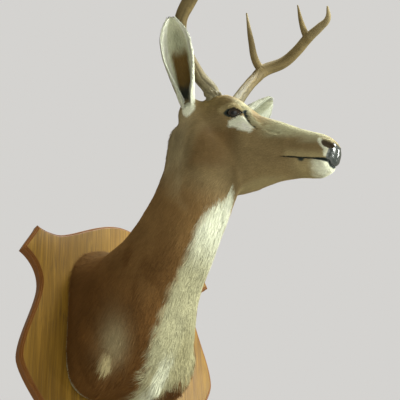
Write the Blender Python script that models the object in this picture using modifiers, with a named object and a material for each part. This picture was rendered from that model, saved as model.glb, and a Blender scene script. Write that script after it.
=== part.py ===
"""A white-tailed deer shoulder mount on its oak shield plaque.

Metres, +Z up.  The origin is the centre of the plaque's flat back face, +Y runs into the
wall, so the deer looks out along -Y, and +X is the deer's own left side.

The flesh is modelled whole, as a trunk and neck loft joined to a head loft, and is then
parted with thin cuts.  Ears, eyes and antlers are pieces of their own.
"""
import math

import bmesh
import bpy
import numpy as np
from mathutils import Matrix, Vector

MM = 0.001
GAP = 0.3 * MM                       # clearance between pieces that meet

# ---------------------------------------------------------------- plaque
PLAQUE_THICK = 0.022
PLAQUE_TOP = 0.283                   # height of the middle of its top, and depth of its point
PLAQUE_DIP = (0.140, 0.233)
PLAQUE_TIP = (0.182, 0.244)          # pointed top corner
PLAQUE_SHOULDER = (0.211, 0.188)     # outer corner below the tip
PLAQUE_WAIST = (0.172, 0.122)
PLAQUE_BULGE = (0.206, -0.024)
ROUTED_EDGE = ((0.0015, 0.0), (0.0020, 0.0015), (0.0015, 0.0025), (0.0005, 0.0020))

# ---------------------------------------------------------------- head, in its own frame
# x forward from the middle of the eyes, y to the deer's left, z up.
HEAD_CENTRE = Vector((0.1172, -0.3251, 0.3916))
HEAD_TURN = math.radians(25.1)       # towards the deer's left
HEAD_NOD = math.radians(17.1)        # nose below level
HEAD_TILT = math.radians(6.2)        # left side up

# Each station: forward place, top, brow (half width, height), cheek (half width, height),
# jaw (half width, height), bottom.  All in millimetres.
HEAD_STATIONS = (
    (-112, 24, (20, 16), (26, -6), (18, -34), -46),
    (-98, 48, (36, 36), (46, -2), (32, -68), -92),
    (-76, 60, (42, 50), (57, -8), (39, -98), -122),
    (-50, 60, (46, 48), (60, -12), (42, -114), -138),
    (-25, 52, (52, 38), (60, -16), (42, -119), -141),
    (-5, 37, (55, 28), (58, -20), (40, -119), -139),
    (12, 22, (50, 19), (55, -28), (38, -117), -135),
    (28, 10, (41, 6), (51, -38), (37, -114), -130),
    (50, 6, (30, 0), (45, -50), (34, -110), -124),
    (77, -1, (22, -8), (38, -60), (31, -104), -117),
    (104, -11, (18, -19), (34, -66), (28, -102), -114),
    (125, -19, (17, -26), (32, -68), (25, -102), -113),
    (150, -27, (17, -33), (31, -66), (23, -104), -115),
    (166, -32, (18, -37), (30, -66), (21, -105), -116),
    (177, -37, (19, -42), (29, -66), (20, -102), -112),
    (185, -42, (18, -46), (27, -66), (19, -96), -104),
    (191, -47, (17, -50), (25, -67), (17, -88), -94),
    (196, -53, (15, -56), (21, -69), (14, -83), -88),
    (199, -60, (11, -62), (15, -70), (11, -78), -81),
)
EAR_ROOT = ((-104, 52, 12), (30, 25, 34))      # swelling that carries each ear: centre, radii
EYE_CENTRE = (-5, 45, 8)
EYE_RADIUS = 16.5
NOSTRIL_CENTRE = (187, 19, -57)
NOSTRIL_SIZE = (9, 6, 5)
MOUTH_CORNER = (94, -85)             # forward and up
MOUTH_SLOPE = 0.05                   # how far the mouth falls towards the chin
NOSE_CUT = 184                       # where the bare nose pad begins, at the lip
NOSE_LEAN = 0.16

# ---------------------------------------------------------------- neck and trunk
# Each station: centre (x, y, z), lean of its plane from upright in degrees (0 faces the
# wall, 90 lies level), turn to the left, half width, half depth, squareness, and how much
# wider the lower side is than the upper.
NECK_STATIONS = (
    ((-0.002, -0.0223, 0.052), 0, 0, 0.115, 0.146, 4.6, 0.04),
    ((-0.004, -0.055, 0.050), 3, 0, 0.121, 0.152, 3.6, 0.03),
    ((-0.008, -0.090, 0.054), 13, 2, 0.116, 0.147, 2.6, 0.00),
    ((-0.009, -0.122, 0.078), 28, 4, 0.103, 0.130, 2.3, 0.00),
    ((-0.004, -0.150, 0.112), 42, 6, 0.088, 0.108, 2.1, 0.00),
    ((0.010, -0.186, 0.155), 52, 8, 0.076, 0.095, 2.0, 0.00),
    ((0.025, -0.218, 0.205), 58, 10, 0.069, 0.088, 2.0, 0.00),
    ((0.041, -0.240, 0.258), 62, 14, 0.065, 0.086, 2.0, 0.00),
    ((0.056, -0.249, 0.310), 66, 18, 0.066, 0.086, 2.0, 0.00),
    ((0.065, -0.249, 0.356), 70, 22, 0.069, 0.082, 2.0, 0.00),
    ((0.070, -0.246, 0.396), 73, 25, 0.063, 0.070, 2.0, 0.00),
    ((0.074, -0.246, 0.428), 75, 25, 0.040, 0.042, 2.0, 0.00),
)
UPPER_ARM = ((0.071, -0.096, -0.004), (0.044, 0.050, 0.084))   # out from the middle, radii
CHEST_MIDDLE = -0.007
RING_SIDES = 40
NECK_CUT = (0.000, -0.150, 0.118)    # where the neck is parted from the trunk
NECK_CUT_NORMAL = (0.10, -0.72, 0.69)

# ---------------------------------------------------------------- ears, in the head's frame
EAR_BASE = (-110, 56, 24)
EAR_LENGTH = {"left": 170, "right": 180}
EAR_AIM = {"left": (0.24, 0.74, 0.63), "right": (0.08, 0.65, 0.75)}      # forward, out, up
EAR_FACING = {"left": 25, "right": 62}     # degrees outward of forward that the cup opens to
# Along the ear: share of its length, half width round the skin in millimetres, half angle
# that the skin wraps through in degrees.
EAR_SPREAD = ((0.0, 28, 160), (0.15, 38, 150), (0.35, 45, 124), (0.55, 47, 102),
              (0.75, 40, 82), (0.90, 26, 64), (1.0, 9, 50))
EAR_BOW = 6                          # how far the back of the ear bows, in millimetres
EAR_THICK = 3.6 * MM

# ---------------------------------------------------------------- antlers, in the head's frame
# Centre line of the left one with its radius: forward, out, up, radius, in millimetres.
BEAM = ((-70, 34, 38, 15), (-70, 37, 56, 14.5), (-74, 62, 90, 13), (-83, 105, 139, 12),
        (-86, 131, 167, 12.5), (-78, 145, 189, 14), (-39, 162, 213, 12.5), (-10, 159, 233, 11.5),
        (23, 146, 255, 11), (56, 132, 268, 9), (80, 117, 276, 6.5), (91, 90, 290, 2))
REAR_TINE = ((-78, 143, 187, 9), (-90, 130, 206, 8.5), (-94, 105, 246, 6.5), (-103, 86, 304, 1.8))
FRONT_TINE = ((23, 146, 252, 8), (17, 139, 265, 7.5), (12, 128, 284, 5.5), (6, 113, 319, 1.6))
BURR = ((-70, 37, 56), 18)           # centre of the coronet and its radius
ANTLER_GROWTH = {"left": 1.0, "right": 1.06}
ANTLER_BOW = {"left": (0, 0, 0), "right": (-25, 2, -4)}   # extra bow below the first fork
BOW_TOP = 189                        # height of the first fork, where the bow has died out
# Cuts at the forks, each a place and the way that the antler runs there, and a point in
# the middle of each length.
ANTLER_CUTS = {"fork_low": ((-60, 154, 201), (0.80, 0.33, 0.50)),
               "rear": ((-91, 127, 211), (-0.10, -0.50, 0.85)),
               "fork_high": ((39, 139, 262), (0.86, -0.37, 0.35)),
               "front": ((15, 135, 271), (-0.22, -0.50, 0.84))}
ANTLER_SEEDS = {"base": (-82, 95, 130), "beam": (-10, 158, 233), "tip": (75, 118, 275),
                "rear_tine": (-95, 105, 245), "front_tine": (12, 126, 290)}

HIDE = (0.26, 0.19, 0.12)
NOSE_BLACK = (0.02, 0.02, 0.02)
ANTLER_TAN = (0.35, 0.26, 0.16)


def smooth_keys(keys, values, at):
    """A smooth curve through the keys (monotone cubic, so it never overshoots)."""
    keys = np.asarray(keys, float)
    values = np.asarray(values, float)
    step = np.diff(keys)
    slope = np.diff(values) / step
    tangent = np.zeros_like(values)
    tangent[0], tangent[-1] = slope[0], slope[-1]
    for i in range(1, len(keys) - 1):
        if slope[i - 1] * slope[i] > 0:
            a, b = 2 * step[i] + step[i - 1], step[i] + 2 * step[i - 1]
            tangent[i] = (a + b) / (a / slope[i - 1] + b / slope[i])
    at = np.clip(np.asarray(at, float), keys[0], keys[-1])
    i = np.clip(np.searchsorted(keys, at) - 1, 0, len(step) - 1)
    t = (at - keys[i]) / step[i]
    return ((2 * t ** 3 - 3 * t ** 2 + 1) * values[i] + (3 * t ** 2 - 2 * t ** 3) * values[i + 1]
            + (t ** 3 - 2 * t ** 2 + t) * step[i] * tangent[i]
            + (t ** 3 - t ** 2) * step[i] * tangent[i + 1])


def closed_spline(points, count):
    """Catmull-Rom loop through the points, read at even steps of its length."""
    points = np.asarray(points, float)
    fine = []
    for i in range(len(points)):
        a, b, c, d = (points[(i + k) % len(points)] for k in (-1, 0, 1, 2))
        ab, bc, cd = (max(np.linalg.norm(q - p), 1e-9) ** 0.5 for p, q in ((a, b), (b, c), (c, d)))
        for t in np.linspace(0, bc, 24, endpoint=False):
            p1 = ((-t) * a + (t + ab) * b) / ab
            p2 = ((bc - t) * b + t * c) / bc
            p3 = ((bc + cd - t) * c + (t - bc) * d) / cd
            q1 = ((bc - t) * p1 + (t + ab) * p2) / (ab + bc)
            q2 = ((bc + cd - t) * p2 + t * p3) / (bc + cd)
            fine.append(((bc - t) * q1 + t * q2) / bc)
    looped = np.vstack([fine, fine[:1]])
    length = np.concatenate([[0], np.cumsum(np.linalg.norm(np.diff(looped, axis=0), axis=1))])
    at = np.linspace(0, length[-1], count, endpoint=False)
    return np.column_stack([np.interp(at, length, looped[:, k]) for k in range(looped.shape[1])])


def head_matrix():
    forward = Vector((math.sin(HEAD_TURN) * math.cos(HEAD_NOD),
                      -math.cos(HEAD_TURN) * math.cos(HEAD_NOD), -math.sin(HEAD_NOD)))
    level_left = Vector((math.cos(HEAD_TURN), math.sin(HEAD_TURN), 0.0))
    left = level_left * math.cos(HEAD_TILT) + forward.cross(level_left) * math.sin(HEAD_TILT)
    turn = Matrix((forward, left, forward.cross(left))).transposed()
    return Matrix.Translation(HEAD_CENTRE) @ turn.to_4x4() @ Matrix.Scale(MM, 4)


HEAD = head_matrix()                 # from the head's millimetres to the world's metres


def on_side(point, side):
    """A point given for the left side of the head, in the world, for either side."""
    forward, out, up = point
    return HEAD @ Vector((forward, out if side == "left" else -out, up))


# ---------------------------------------------------------------- building blocks
def collection(name):
    made = bpy.data.collections.new(name)
    bpy.context.scene.collection.children.link(made)
    return made


def add_object(name, mesh, home="guides"):
    obj = bpy.data.objects.new(name, mesh)
    bpy.data.collections[home].objects.link(obj)
    if home == "guides":
        obj.hide_render = True
        obj.display_type = "WIRE"
    return obj


def mesh_from(name, work):
    bmesh.ops.recalc_face_normals(work, faces=work.faces)
    mesh = bpy.data.meshes.new(name)
    work.to_mesh(mesh)
    work.free()
    return mesh


def loft(name, rings):
    """Skin a row of rings that all have the same number of corners, closed at both ends."""
    sides = len(rings[0])
    work = bmesh.new()
    rows = [[work.verts.new(p) for p in ring] for ring in rings]
    for low, high in zip(rows, rows[1:]):
        for k in range(sides):
            work.faces.new((low[k], low[(k + 1) % sides], high[(k + 1) % sides], high[k]))
    work.faces.new(rows[0][::-1])
    work.faces.new(rows[-1])
    return add_object(name, mesh_from(name, work))


def ellipsoid(name, centre, radii, turn=None, segments=24):
    work = bmesh.new()
    bmesh.ops.create_uvsphere(work, u_segments=segments, v_segments=segments * 2 // 3, radius=1.0)
    place = Matrix.Translation(centre) @ (turn or Matrix()).to_3x3().to_4x4()
    bmesh.ops.transform(work, verts=work.verts, matrix=place @ Matrix.Diagonal((*radii, 1.0)))
    return add_object(name, mesh_from(name, work))


def slab(name, centre, normal, size, along=(1, 0, 0), thick=GAP):
    """A thin plate, the cut that parts two neighbours: its length runs along the given way."""
    length, width = size
    normal = Vector(normal).normalized()
    across = normal.cross(Vector(along)).normalized()
    turn = Matrix((across.cross(normal), across, normal)).transposed().to_4x4()
    work = bmesh.new()
    bmesh.ops.create_cube(work, size=1.0)
    place = Matrix.Translation(centre) @ turn @ Matrix.Diagonal((length, width, thick, 1.0))
    bmesh.ops.transform(work, verts=work.verts, matrix=place)
    return add_object(name, mesh_from(name, work))


def modified(obj, name, *steps):
    """The object's mesh after the given modifiers, as a new object."""
    for kind, values in steps:
        step = obj.modifiers.new(kind.lower(), kind)
        for key, value in values.items():
            setattr(step, key, value)
    bpy.context.view_layer.update()
    graph = bpy.context.evaluated_depsgraph_get()
    mesh = bpy.data.meshes.new_from_object(obj.evaluated_get(graph))
    mesh.name = name
    made = add_object(name, mesh)
    made.matrix_world = obj.matrix_world
    obj.modifiers.clear()
    return made


def join(operation, obj, others, name):
    steps = [("BOOLEAN", {"operation": operation, "object": o, "solver": "EXACT"}) for o in others]
    return modified(obj, name, *steps)


def swollen(obj, by=GAP):
    return modified(obj, obj.name + "_swollen", ("DISPLACE", {"strength": by, "mid_level": 0.0}))


def softened(obj, name, voxel, rounds, faces):
    """One even skin over joined forms, eased and then thinned to a few faces."""
    eased = modified(obj, name, ("REMESH", {"mode": "VOXEL", "voxel_size": voxel}),
                     ("SMOOTH", {"factor": 0.5, "iterations": rounds}))
    ratio = faces / (2.0 * len(eased.data.polygons))
    return modified(eased, name, ("TRIANGULATE", {}), ("DECIMATE", {"ratio": ratio}))


def loose_pieces(obj):
    """Split a mesh into its separate bodies, largest first."""
    whole = bmesh.new()
    whole.from_mesh(obj.data)
    bmesh.ops.remove_doubles(whole, verts=whole.verts, dist=1e-6)
    unseen = set(whole.verts)
    pieces = []
    while unseen:
        stack = [unseen.pop()]
        body = set(stack)
        while stack:
            for edge in stack.pop().link_edges:
                for vert in edge.verts:
                    if vert in unseen:
                        unseen.discard(vert)
                        body.add(vert)
                        stack.append(vert)
        pieces.append(body)
    meshes = []
    for body in sorted(pieces, key=len, reverse=True):
        part = bmesh.new()
        copies = {v: part.verts.new(v.co) for v in body}
        for face in {f for v in body for f in v.link_faces}:
            part.faces.new([copies[v] for v in face.verts])
        meshes.append(part)
    whole.free()
    return meshes


def finish(obj, name, colour, roughness, metallic=0.0, smooth_angle=40):
    """Put a finished piece in the mount, with its own material."""
    mesh = obj.data.copy()
    mesh.name = name
    piece = bpy.data.objects.new(name, mesh)
    bpy.data.collections["deer_shoulder_mount"].objects.link(piece)
    material = bpy.data.materials.new(name)
    material.use_nodes = True
    shader = material.node_tree.nodes["Principled BSDF"]
    shader.inputs["Base Color"].default_value = (*colour, 1.0)
    shader.inputs["Roughness"].default_value = roughness
    shader.inputs["Metallic"].default_value = metallic
    mesh.materials.clear()
    mesh.materials.append(material)
    mesh.shade_smooth()
    mesh.set_sharp_from_angle(angle=math.radians(smooth_angle))
    return piece


def finish_parts(obj, seeds, colours, roughness):
    """Name each separate body of a cut mesh after the seed point nearest to its middle."""
    parts = loose_pieces(obj)
    middles = [sum((v.co for v in part.verts), Vector()) / len(part.verts) for part in parts]
    for name, seed in seeds.items():
        nearest = min(range(len(parts)), key=lambda i: (middles[i] - Vector(seed)).length)
        piece = add_object(name + "_cut", mesh_from(name, parts[nearest]))
        finish(piece, name, colours[name], roughness)


# ---------------------------------------------------------------- plaque
def plaque():
    """Oak board sawn to a shield: half the outline, mirrored, then its edge is routed."""
    curve = bpy.data.curves.new("plaque_outline", "CURVE")
    curve.dimensions = "2D"
    curve.resolution_u = 5
    curve.fill_mode = "NONE"
    # point, and how its handles leave it: towards the one before and the one after
    half = (((0.0, PLAQUE_TOP), (-0.05, 0), (0.05, 0)),
            (PLAQUE_DIP, (-0.030, 0.001), (0.018, 0)),
            (PLAQUE_TIP, (-0.010, -0.007), (0.006, -0.016)),
            (PLAQUE_SHOULDER, (-0.008, 0.018), (-0.018, -0.010)),
            (PLAQUE_WAIST, (0.001, 0.032), (-0.001, -0.036)),
            (PLAQUE_BULGE, (0.001, 0.042), (-0.001, -0.050)),
            ((0.0, -PLAQUE_TOP), (0.048, 0.046), (-0.048, 0.046)))
    right = [(p, a, b) for p, a, b in half]
    left = [((-p[0], p[1]), (-b[0], b[1]), (-a[0], a[1])) for p, a, b in half[-2:0:-1]]
    spline = curve.splines.new("BEZIER")
    spline.bezier_points.add(len(right) + len(left) - 1)
    for point, (place, before, after) in zip(spline.bezier_points, right + left):
        point.handle_left_type = point.handle_right_type = "FREE"
        point.co = (*place, 0)
        point.handle_left = (place[0] + before[0], place[1] + before[1], 0)
        point.handle_right = (place[0] + after[0], place[1] + after[1], 0)
    spline.use_cyclic_u = True
    outline = add_object("plaque_outline", curve)
    graph = bpy.context.evaluated_depsgraph_get()
    drawn = bpy.data.meshes.new_from_object(outline.evaluated_get(graph))
    bpy.data.objects.remove(outline)

    work = bmesh.new()
    work.from_mesh(drawn)
    bmesh.ops.remove_doubles(work, verts=work.verts, dist=0.0005)
    back = bmesh.ops.contextual_create(work, geom=work.edges[:])["faces"]
    side = PLAQUE_THICK - sum(depth for _, depth in ROUTED_EDGE)
    front = bmesh.ops.extrude_face_region(work, geom=back)["geom"]
    top = [f for f in front if isinstance(f, bmesh.types.BMFace)]
    bmesh.ops.translate(work, verts=top[0].verts, vec=(0, 0, side))
    bmesh.ops.recalc_face_normals(work, faces=work.faces)
    for inward, depth in ROUTED_EDGE:
        bmesh.ops.inset_region(work, faces=top, thickness=inward, depth=0.0, use_even_offset=True)
        bmesh.ops.translate(work, verts=top[0].verts, vec=(0, 0, depth))
    stand_up = Matrix(((1, 0, 0, 0), (0, 0, -1, 0), (0, 1, 0, 0), (0, 0, 0, 1)))
    bmesh.ops.transform(work, verts=work.verts, matrix=stand_up)
    bmesh.ops.triangulate(work, faces=work.faces)
    board = add_object("plaque_board", mesh_from("plaque_board", work))
    finish(board, "plaque", (0.45, 0.26, 0.10), 0.35, smooth_angle=25)


# ---------------------------------------------------------------- flesh
def head_rings(spacing=8.0):
    table = np.array([(u, t, *b, *c, *j, bottom) for u, t, b, c, j, bottom in HEAD_STATIONS], float)
    keys = table[:, 0]
    even = np.linspace(keys[0], keys[-1], int((keys[-1] - keys[0]) / spacing))
    rings = []
    for at in np.unique(np.concatenate([even[:-2], keys[-4:]])):
        top, brow_w, brow_z, cheek_w, cheek_z, jaw_w, jaw_z, bottom = (
            smooth_keys(keys, table[:, k], at) for k in range(1, 9))
        half = [(brow_w, brow_z), (cheek_w, cheek_z), (jaw_w, jaw_z)]
        loop = closed_spline([(0, top)] + half + [(0, bottom)] + [(-w, z) for w, z in half[::-1]],
                             RING_SIDES)
        rings.append([HEAD @ Vector((at, y, z)) for y, z in loop])
    return rings


def neck_rings(spacing=0.012):
    table = np.array([(*station[0], *station[1:]) for station in NECK_STATIONS], float)
    steps = np.linalg.norm(np.diff(table[:, :3], axis=0), axis=1)
    run = np.concatenate([[0], np.cumsum(steps)])
    rings = []
    for at in np.linspace(0, run[-1], int(run[-1] / spacing) + 1):
        x, y, z, lean, turn, wide, deep, square, taper = (
            smooth_keys(run, table[:, k], at) for k in range(9))
        lean, turn = math.radians(lean), math.radians(turn)
        side = Vector((math.cos(turn), math.sin(turn), 0))
        out = Vector((math.sin(turn), -math.cos(turn), 0))
        up = Vector((0, 0, 1)) * math.cos(lean) - out * math.sin(lean)
        ring = []
        for angle in np.linspace(0, 2 * math.pi, RING_SIDES, endpoint=False):
            c, s = math.cos(angle), math.sin(angle)
            along = math.copysign(abs(c) ** (2 / square), c)
            across = math.copysign(abs(s) ** (2 / square), s) * (1 - taper * along)
            ring.append(Vector((x, y, z)) + side * (across * wide) + up * (along * deep))
        rings.append(ring)
    return rings


def flesh():
    """Trunk, neck and head as one body, flat where it meets the plaque."""
    (x, y, z), radii = UPPER_ARM
    swellings = [ellipsoid("upper_arm", (CHEST_MIDDLE + way * x, y, z), radii) for way in (1, -1)]
    centre, sizes = EAR_ROOT
    swellings += [ellipsoid("ear_root", on_side(centre, side), [r * MM for r in sizes],
                            HEAD.to_3x3().normalized().to_4x4()) for side in ("left", "right")]
    neck = loft("neck_loft", neck_rings())
    head = loft("head_loft", head_rings())
    rough = join("UNION", neck, [head, *swellings], "flesh_rough")
    soft = softened(rough, "flesh_soft", 0.0045, 12, 2700)
    board = slab("board_side", (0, -0.5 * PLAQUE_THICK - GAP / 2, 0), (0, 1, 0), (0.8, 0.8),
                 thick=PLAQUE_THICK + GAP)
    return join("DIFFERENCE", soft, [board], "flesh_whole")


def head_slab(name, centre, normal, size, along=(0, 0, 1)):
    """A cut given in the head's own millimetres."""
    turn = HEAD.to_3x3()
    return slab(name, HEAD @ Vector(centre), turn @ Vector(normal), [v * MM for v in size],
                turn @ Vector(along))


def part_flesh(whole):
    """Thin cuts behind the shoulders, behind the jaw, across the face and along the mouth."""
    mouth_fall = MOUTH_SLOPE * (NOSE_CUT - MOUTH_CORNER[0])
    nose_foot = Vector((NOSE_CUT, 0, MOUTH_CORNER[1] - mouth_fall - 0.05))
    nose_way = Vector((-NOSE_LEAN, 0, 1)).normalized()
    cutters = [
        slab("cut_shoulder", NECK_CUT, NECK_CUT_NORMAL, (0.40, 0.40)),
        head_slab("cut_throat", (-78, 0, -75), (0.87, 0, 0.49), (420, 300)),
        head_slab("cut_face", (MOUTH_CORNER[0], 0, -60), (1, 0, 0), (200, 160)),
        head_slab("cut_mouth", (MOUTH_CORNER[0] + 74.95, 0, MOUTH_CORNER[1] - 75 * MOUTH_SLOPE),
                  (MOUTH_SLOPE, 0, 1), (150.2, 120), (1, 0, -MOUTH_SLOPE)),
        head_slab("cut_nose", nose_foot + nose_way * 40, (1, 0, NOSE_LEAN), (80, 100), nose_way)]
    turn = HEAD.to_3x3().normalized().to_4x4()
    for side in ("left", "right"):
        cutters.append(ellipsoid("socket_" + side, on_side(EYE_CENTRE, side),
                                 [EYE_RADIUS * MM + GAP] * 3, segments=16))
        cutters.append(ellipsoid("nostril_" + side, on_side(NOSTRIL_CENTRE, side),
                                 [r * MM for r in NOSTRIL_SIZE], turn, 9))
    cut = join("DIFFERENCE", whole, cutters, "flesh_cut")
    seeds = {"trunk": (0, -0.09, 0.04), "neck": (0.03, -0.22, 0.25),
             "head": HEAD @ Vector((0, 0, -40)), "muzzle": HEAD @ Vector((140, 0, -55)),
             "lower_jaw": HEAD @ Vector((140, 0, -100)), "nose": HEAD @ Vector((192, 0, -66))}
    colours = dict.fromkeys(seeds, HIDE) | {"nose": NOSE_BLACK}
    finish_parts(cut, seeds, colours, 0.85)


# ---------------------------------------------------------------- ears, eyes, antlers
def ear(side, flesh_body):
    """A cupped leaf of skin, rolled into a tube at its root and opening towards its tip."""
    way = 1 if side == "left" else -1
    forward, out, up = EAR_AIM[side]
    aim = Vector((forward, way * out, up)).normalized()
    facing = math.radians(EAR_FACING[side])
    open_to = Vector((math.cos(facing), way * math.sin(facing), 0))
    open_to = (open_to - aim * open_to.dot(aim)).normalized()
    across = aim.cross(open_to)
    base = Vector((EAR_BASE[0], way * EAR_BASE[1], EAR_BASE[2]))
    spread = np.array(EAR_SPREAD)
    length = EAR_LENGTH[side]
    work = bmesh.new()
    rows = []
    for share in np.linspace(0, 1, 11):
        arc = smooth_keys(spread[:, 0], spread[:, 1], share)
        wrap = math.radians(float(smooth_keys(spread[:, 0], spread[:, 2], share)))
        radius = arc / wrap
        back = base + aim * (share * length) - open_to * (EAR_BOW * math.sin(math.pi * share))
        row = []
        for turn in np.linspace(-wrap, wrap, 12):
            point = back + across * (radius * math.sin(turn)) + open_to * (radius * (1 - math.cos(turn)))
            row.append(work.verts.new(HEAD @ point))
        rows.append(row)
    for low, high in zip(rows, rows[1:]):
        for k in range(len(low) - 1):
            work.faces.new((low[k], low[k + 1], high[k + 1], high[k]))
    leaf = add_object("ear_leaf", mesh_from("ear_leaf", work))
    shell = modified(leaf, "ear_shell", ("SOLIDIFY", {"thickness": EAR_THICK, "offset": 0.0}))
    grown = join("DIFFERENCE", shell, [flesh_body], "ear_grown")
    largest = add_object("ear_cut", mesh_from("ear_cut", loose_pieces(grown)[0]))
    finish(largest, "ear_" + side, HIDE, 0.9)


def eye(side):
    ball = ellipsoid("eyeball", on_side(EYE_CENTRE, side), [EYE_RADIUS * MM] * 3, segments=16)
    finish(ball, "eye_" + side, (0.012, 0.010, 0.009), 0.05)


def antler_place(place, side):
    """Where a point of the left antler's plan lies on this side, in the head's millimetres."""
    start = Vector(BURR[0])
    grown = start + (Vector(place) - start) * ANTLER_GROWTH[side]
    share = min(max((place[2] - start.z) / (BOW_TOP - start.z), 0.0), 1.0)
    grown += Vector(ANTLER_BOW[side]) * math.sin(math.pi * share)
    return (grown.x, grown.y if side == "left" else -grown.y, grown.z)


def horn(name, stations, side):
    """A tapering round rod along the stations, each a place in the head and a radius."""
    curve = bpy.data.curves.new(name, "CURVE")
    curve.dimensions = "3D"
    curve.bevel_depth = MM
    curve.bevel_resolution = 3
    curve.resolution_u = 6
    curve.use_fill_caps = True
    spline = curve.splines.new("BEZIER")
    spline.bezier_points.add(len(stations) - 1)
    for point, (forward, out, up, radius) in zip(spline.bezier_points, stations):
        point.co = HEAD @ Vector(antler_place((forward, out, up), side))
        point.radius = radius
        point.handle_left_type = point.handle_right_type = "AUTO"
    drawn = add_object(name, curve)
    graph = bpy.context.evaluated_depsgraph_get()
    mesh = bpy.data.meshes.new_from_object(drawn.evaluated_get(graph))
    bpy.data.objects.remove(drawn)
    work = bmesh.new()
    work.from_mesh(mesh)
    bmesh.ops.remove_doubles(work, verts=work.verts, dist=1e-5)
    return add_object(name, mesh_from(name, work))


def antler(side, flesh_body):
    """Main beam with a rear and a front tine, one body, then cut at its two forks."""
    beam = horn("beam", BEAM, side)
    tines = [horn("rear_tine", REAR_TINE, side), horn("front_tine", FRONT_TINE, side)]
    centre, radius = BURR
    burr = ellipsoid("burr", on_side(centre, side), [radius * MM, radius * MM, 0.007],
                     HEAD.to_3x3().normalized().to_4x4(), 16)
    whole = join("UNION", beam, [*tines, burr], "antler_rough")
    soft = softened(whole, "antler_soft", 0.0022, 3, 700)
    rooted = join("DIFFERENCE", soft, [flesh_body], "antler_rooted")
    cutters = []
    for name, (centre, normal) in ANTLER_CUTS.items():
        forward, out, up = normal
        way = Vector((forward, out if side == "left" else -out, up))
        cutters.append(head_slab("cut_" + name, antler_place(centre, side), way, (44, 44),
                                 way.orthogonal()))
    cut = join("DIFFERENCE", rooted, cutters, "antler_cut")
    seeds = {f"antler_{side}_{name}": HEAD @ Vector(antler_place(place, side))
             for name, place in ANTLER_SEEDS.items()}
    finish_parts(cut, seeds, dict.fromkeys(seeds, ANTLER_TAN), 0.6)


def main():
    for obj in list(bpy.data.objects):
        bpy.data.objects.remove(obj, do_unlink=True)
    collection("deer_shoulder_mount")
    collection("guides")
    plaque()
    whole = flesh()
    part_flesh(whole)
    flesh_body = swollen(whole)
    for side in ("left", "right"):
        ear(side, flesh_body)
        eye(side)
        antler(side, flesh_body)


main()
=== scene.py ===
# Deer shoulder mount on an oak shield: skin, coat, eyes, antlers, board and studio.
import math

import bmesh
import bpy
import numpy as np
from mathutils import Matrix, Vector
from mathutils.kdtree import KDTree


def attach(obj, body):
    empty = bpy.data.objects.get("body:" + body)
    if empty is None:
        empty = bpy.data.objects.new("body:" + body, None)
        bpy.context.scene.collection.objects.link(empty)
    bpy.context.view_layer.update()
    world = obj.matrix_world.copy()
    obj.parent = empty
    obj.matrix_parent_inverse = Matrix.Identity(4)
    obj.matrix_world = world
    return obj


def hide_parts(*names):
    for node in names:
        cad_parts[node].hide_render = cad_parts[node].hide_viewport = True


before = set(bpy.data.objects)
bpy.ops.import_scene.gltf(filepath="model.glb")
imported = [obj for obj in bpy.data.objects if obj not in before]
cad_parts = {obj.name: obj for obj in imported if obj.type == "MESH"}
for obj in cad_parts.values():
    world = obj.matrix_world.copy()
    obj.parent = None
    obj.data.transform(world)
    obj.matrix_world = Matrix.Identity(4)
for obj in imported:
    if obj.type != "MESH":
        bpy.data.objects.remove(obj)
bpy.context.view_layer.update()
mm = 0.001
dice = np.random.default_rng(1369)
sideSigns = {"left": 1.0, "right": -1.0}
home = bpy.data.collections.new("deerMount")
bpy.context.scene.collection.children.link(home)


def smoothKeys(keys, values, at):
    # monotone cubic through the keys, so it never overshoots
    keys, values = np.asarray(keys, float), np.asarray(values, float)
    step = np.diff(keys)
    slope = np.diff(values) / step
    tangent = np.zeros_like(values)
    tangent[0], tangent[-1] = slope[0], slope[-1]
    for i in range(1, len(keys) - 1):
        if slope[i - 1] * slope[i] > 0:
            a, b = 2 * step[i] + step[i - 1], step[i] + 2 * step[i - 1]
            tangent[i] = (a + b) / (a / slope[i - 1] + b / slope[i])
    at = np.clip(np.asarray(at, float), keys[0], keys[-1])
    i = np.clip(np.searchsorted(keys, at) - 1, 0, len(step) - 1)
    t = (at - keys[i]) / step[i]
    return ((2 * t ** 3 - 3 * t ** 2 + 1) * values[i] + (3 * t ** 2 - 2 * t ** 3) * values[i + 1]
            + (t ** 3 - 2 * t ** 2 + t) * step[i] * tangent[i]
            + (t ** 3 - t ** 2) * step[i] * tangent[i + 1])


def closedSpline(points, count):
    # centripetal loop through the points, read at even steps of its length
    points = np.asarray(points, float)
    fine = []
    for i in range(len(points)):
        a, b, c, d = (points[(i + k) % len(points)] for k in (-1, 0, 1, 2))
        ab, bc, cd = (max(np.linalg.norm(q - p), 1e-9) ** 0.5 for p, q in ((a, b), (b, c), (c, d)))
        for t in np.linspace(0, bc, 24, endpoint=False):
            p1 = ((-t) * a + (t + ab) * b) / ab
            p2 = ((bc - t) * b + t * c) / bc
            p3 = ((bc + cd - t) * c + (t - bc) * d) / cd
            q1 = ((bc - t) * p1 + (t + ab) * p2) / (ab + bc)
            q2 = ((bc + cd - t) * p2 + t * p3) / (bc + cd)
            fine.append(((bc - t) * q1 + t * q2) / bc)
    looped = np.vstack([fine, fine[:1]])
    length = np.concatenate([[0], np.cumsum(lengths(np.diff(looped, axis=0)))])
    at = np.linspace(0, length[-1], count, endpoint=False)
    return np.column_stack([np.interp(at, length, looped[:, k]) for k in range(looped.shape[1])])


def ease(low, high, x):
    t = np.clip((np.asarray(x, float) - low) / (high - low), 0, 1)
    return t * t * (3 - 2 * t)


def fade(low, high, x):
    return 1 - ease(low, high, x)


def bell(x, width):
    return np.exp(-(np.asarray(x, float) / width) ** 2)


def unit(v):
    return v / np.maximum(np.linalg.norm(v, axis=-1, keepdims=True), 1e-9)


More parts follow.
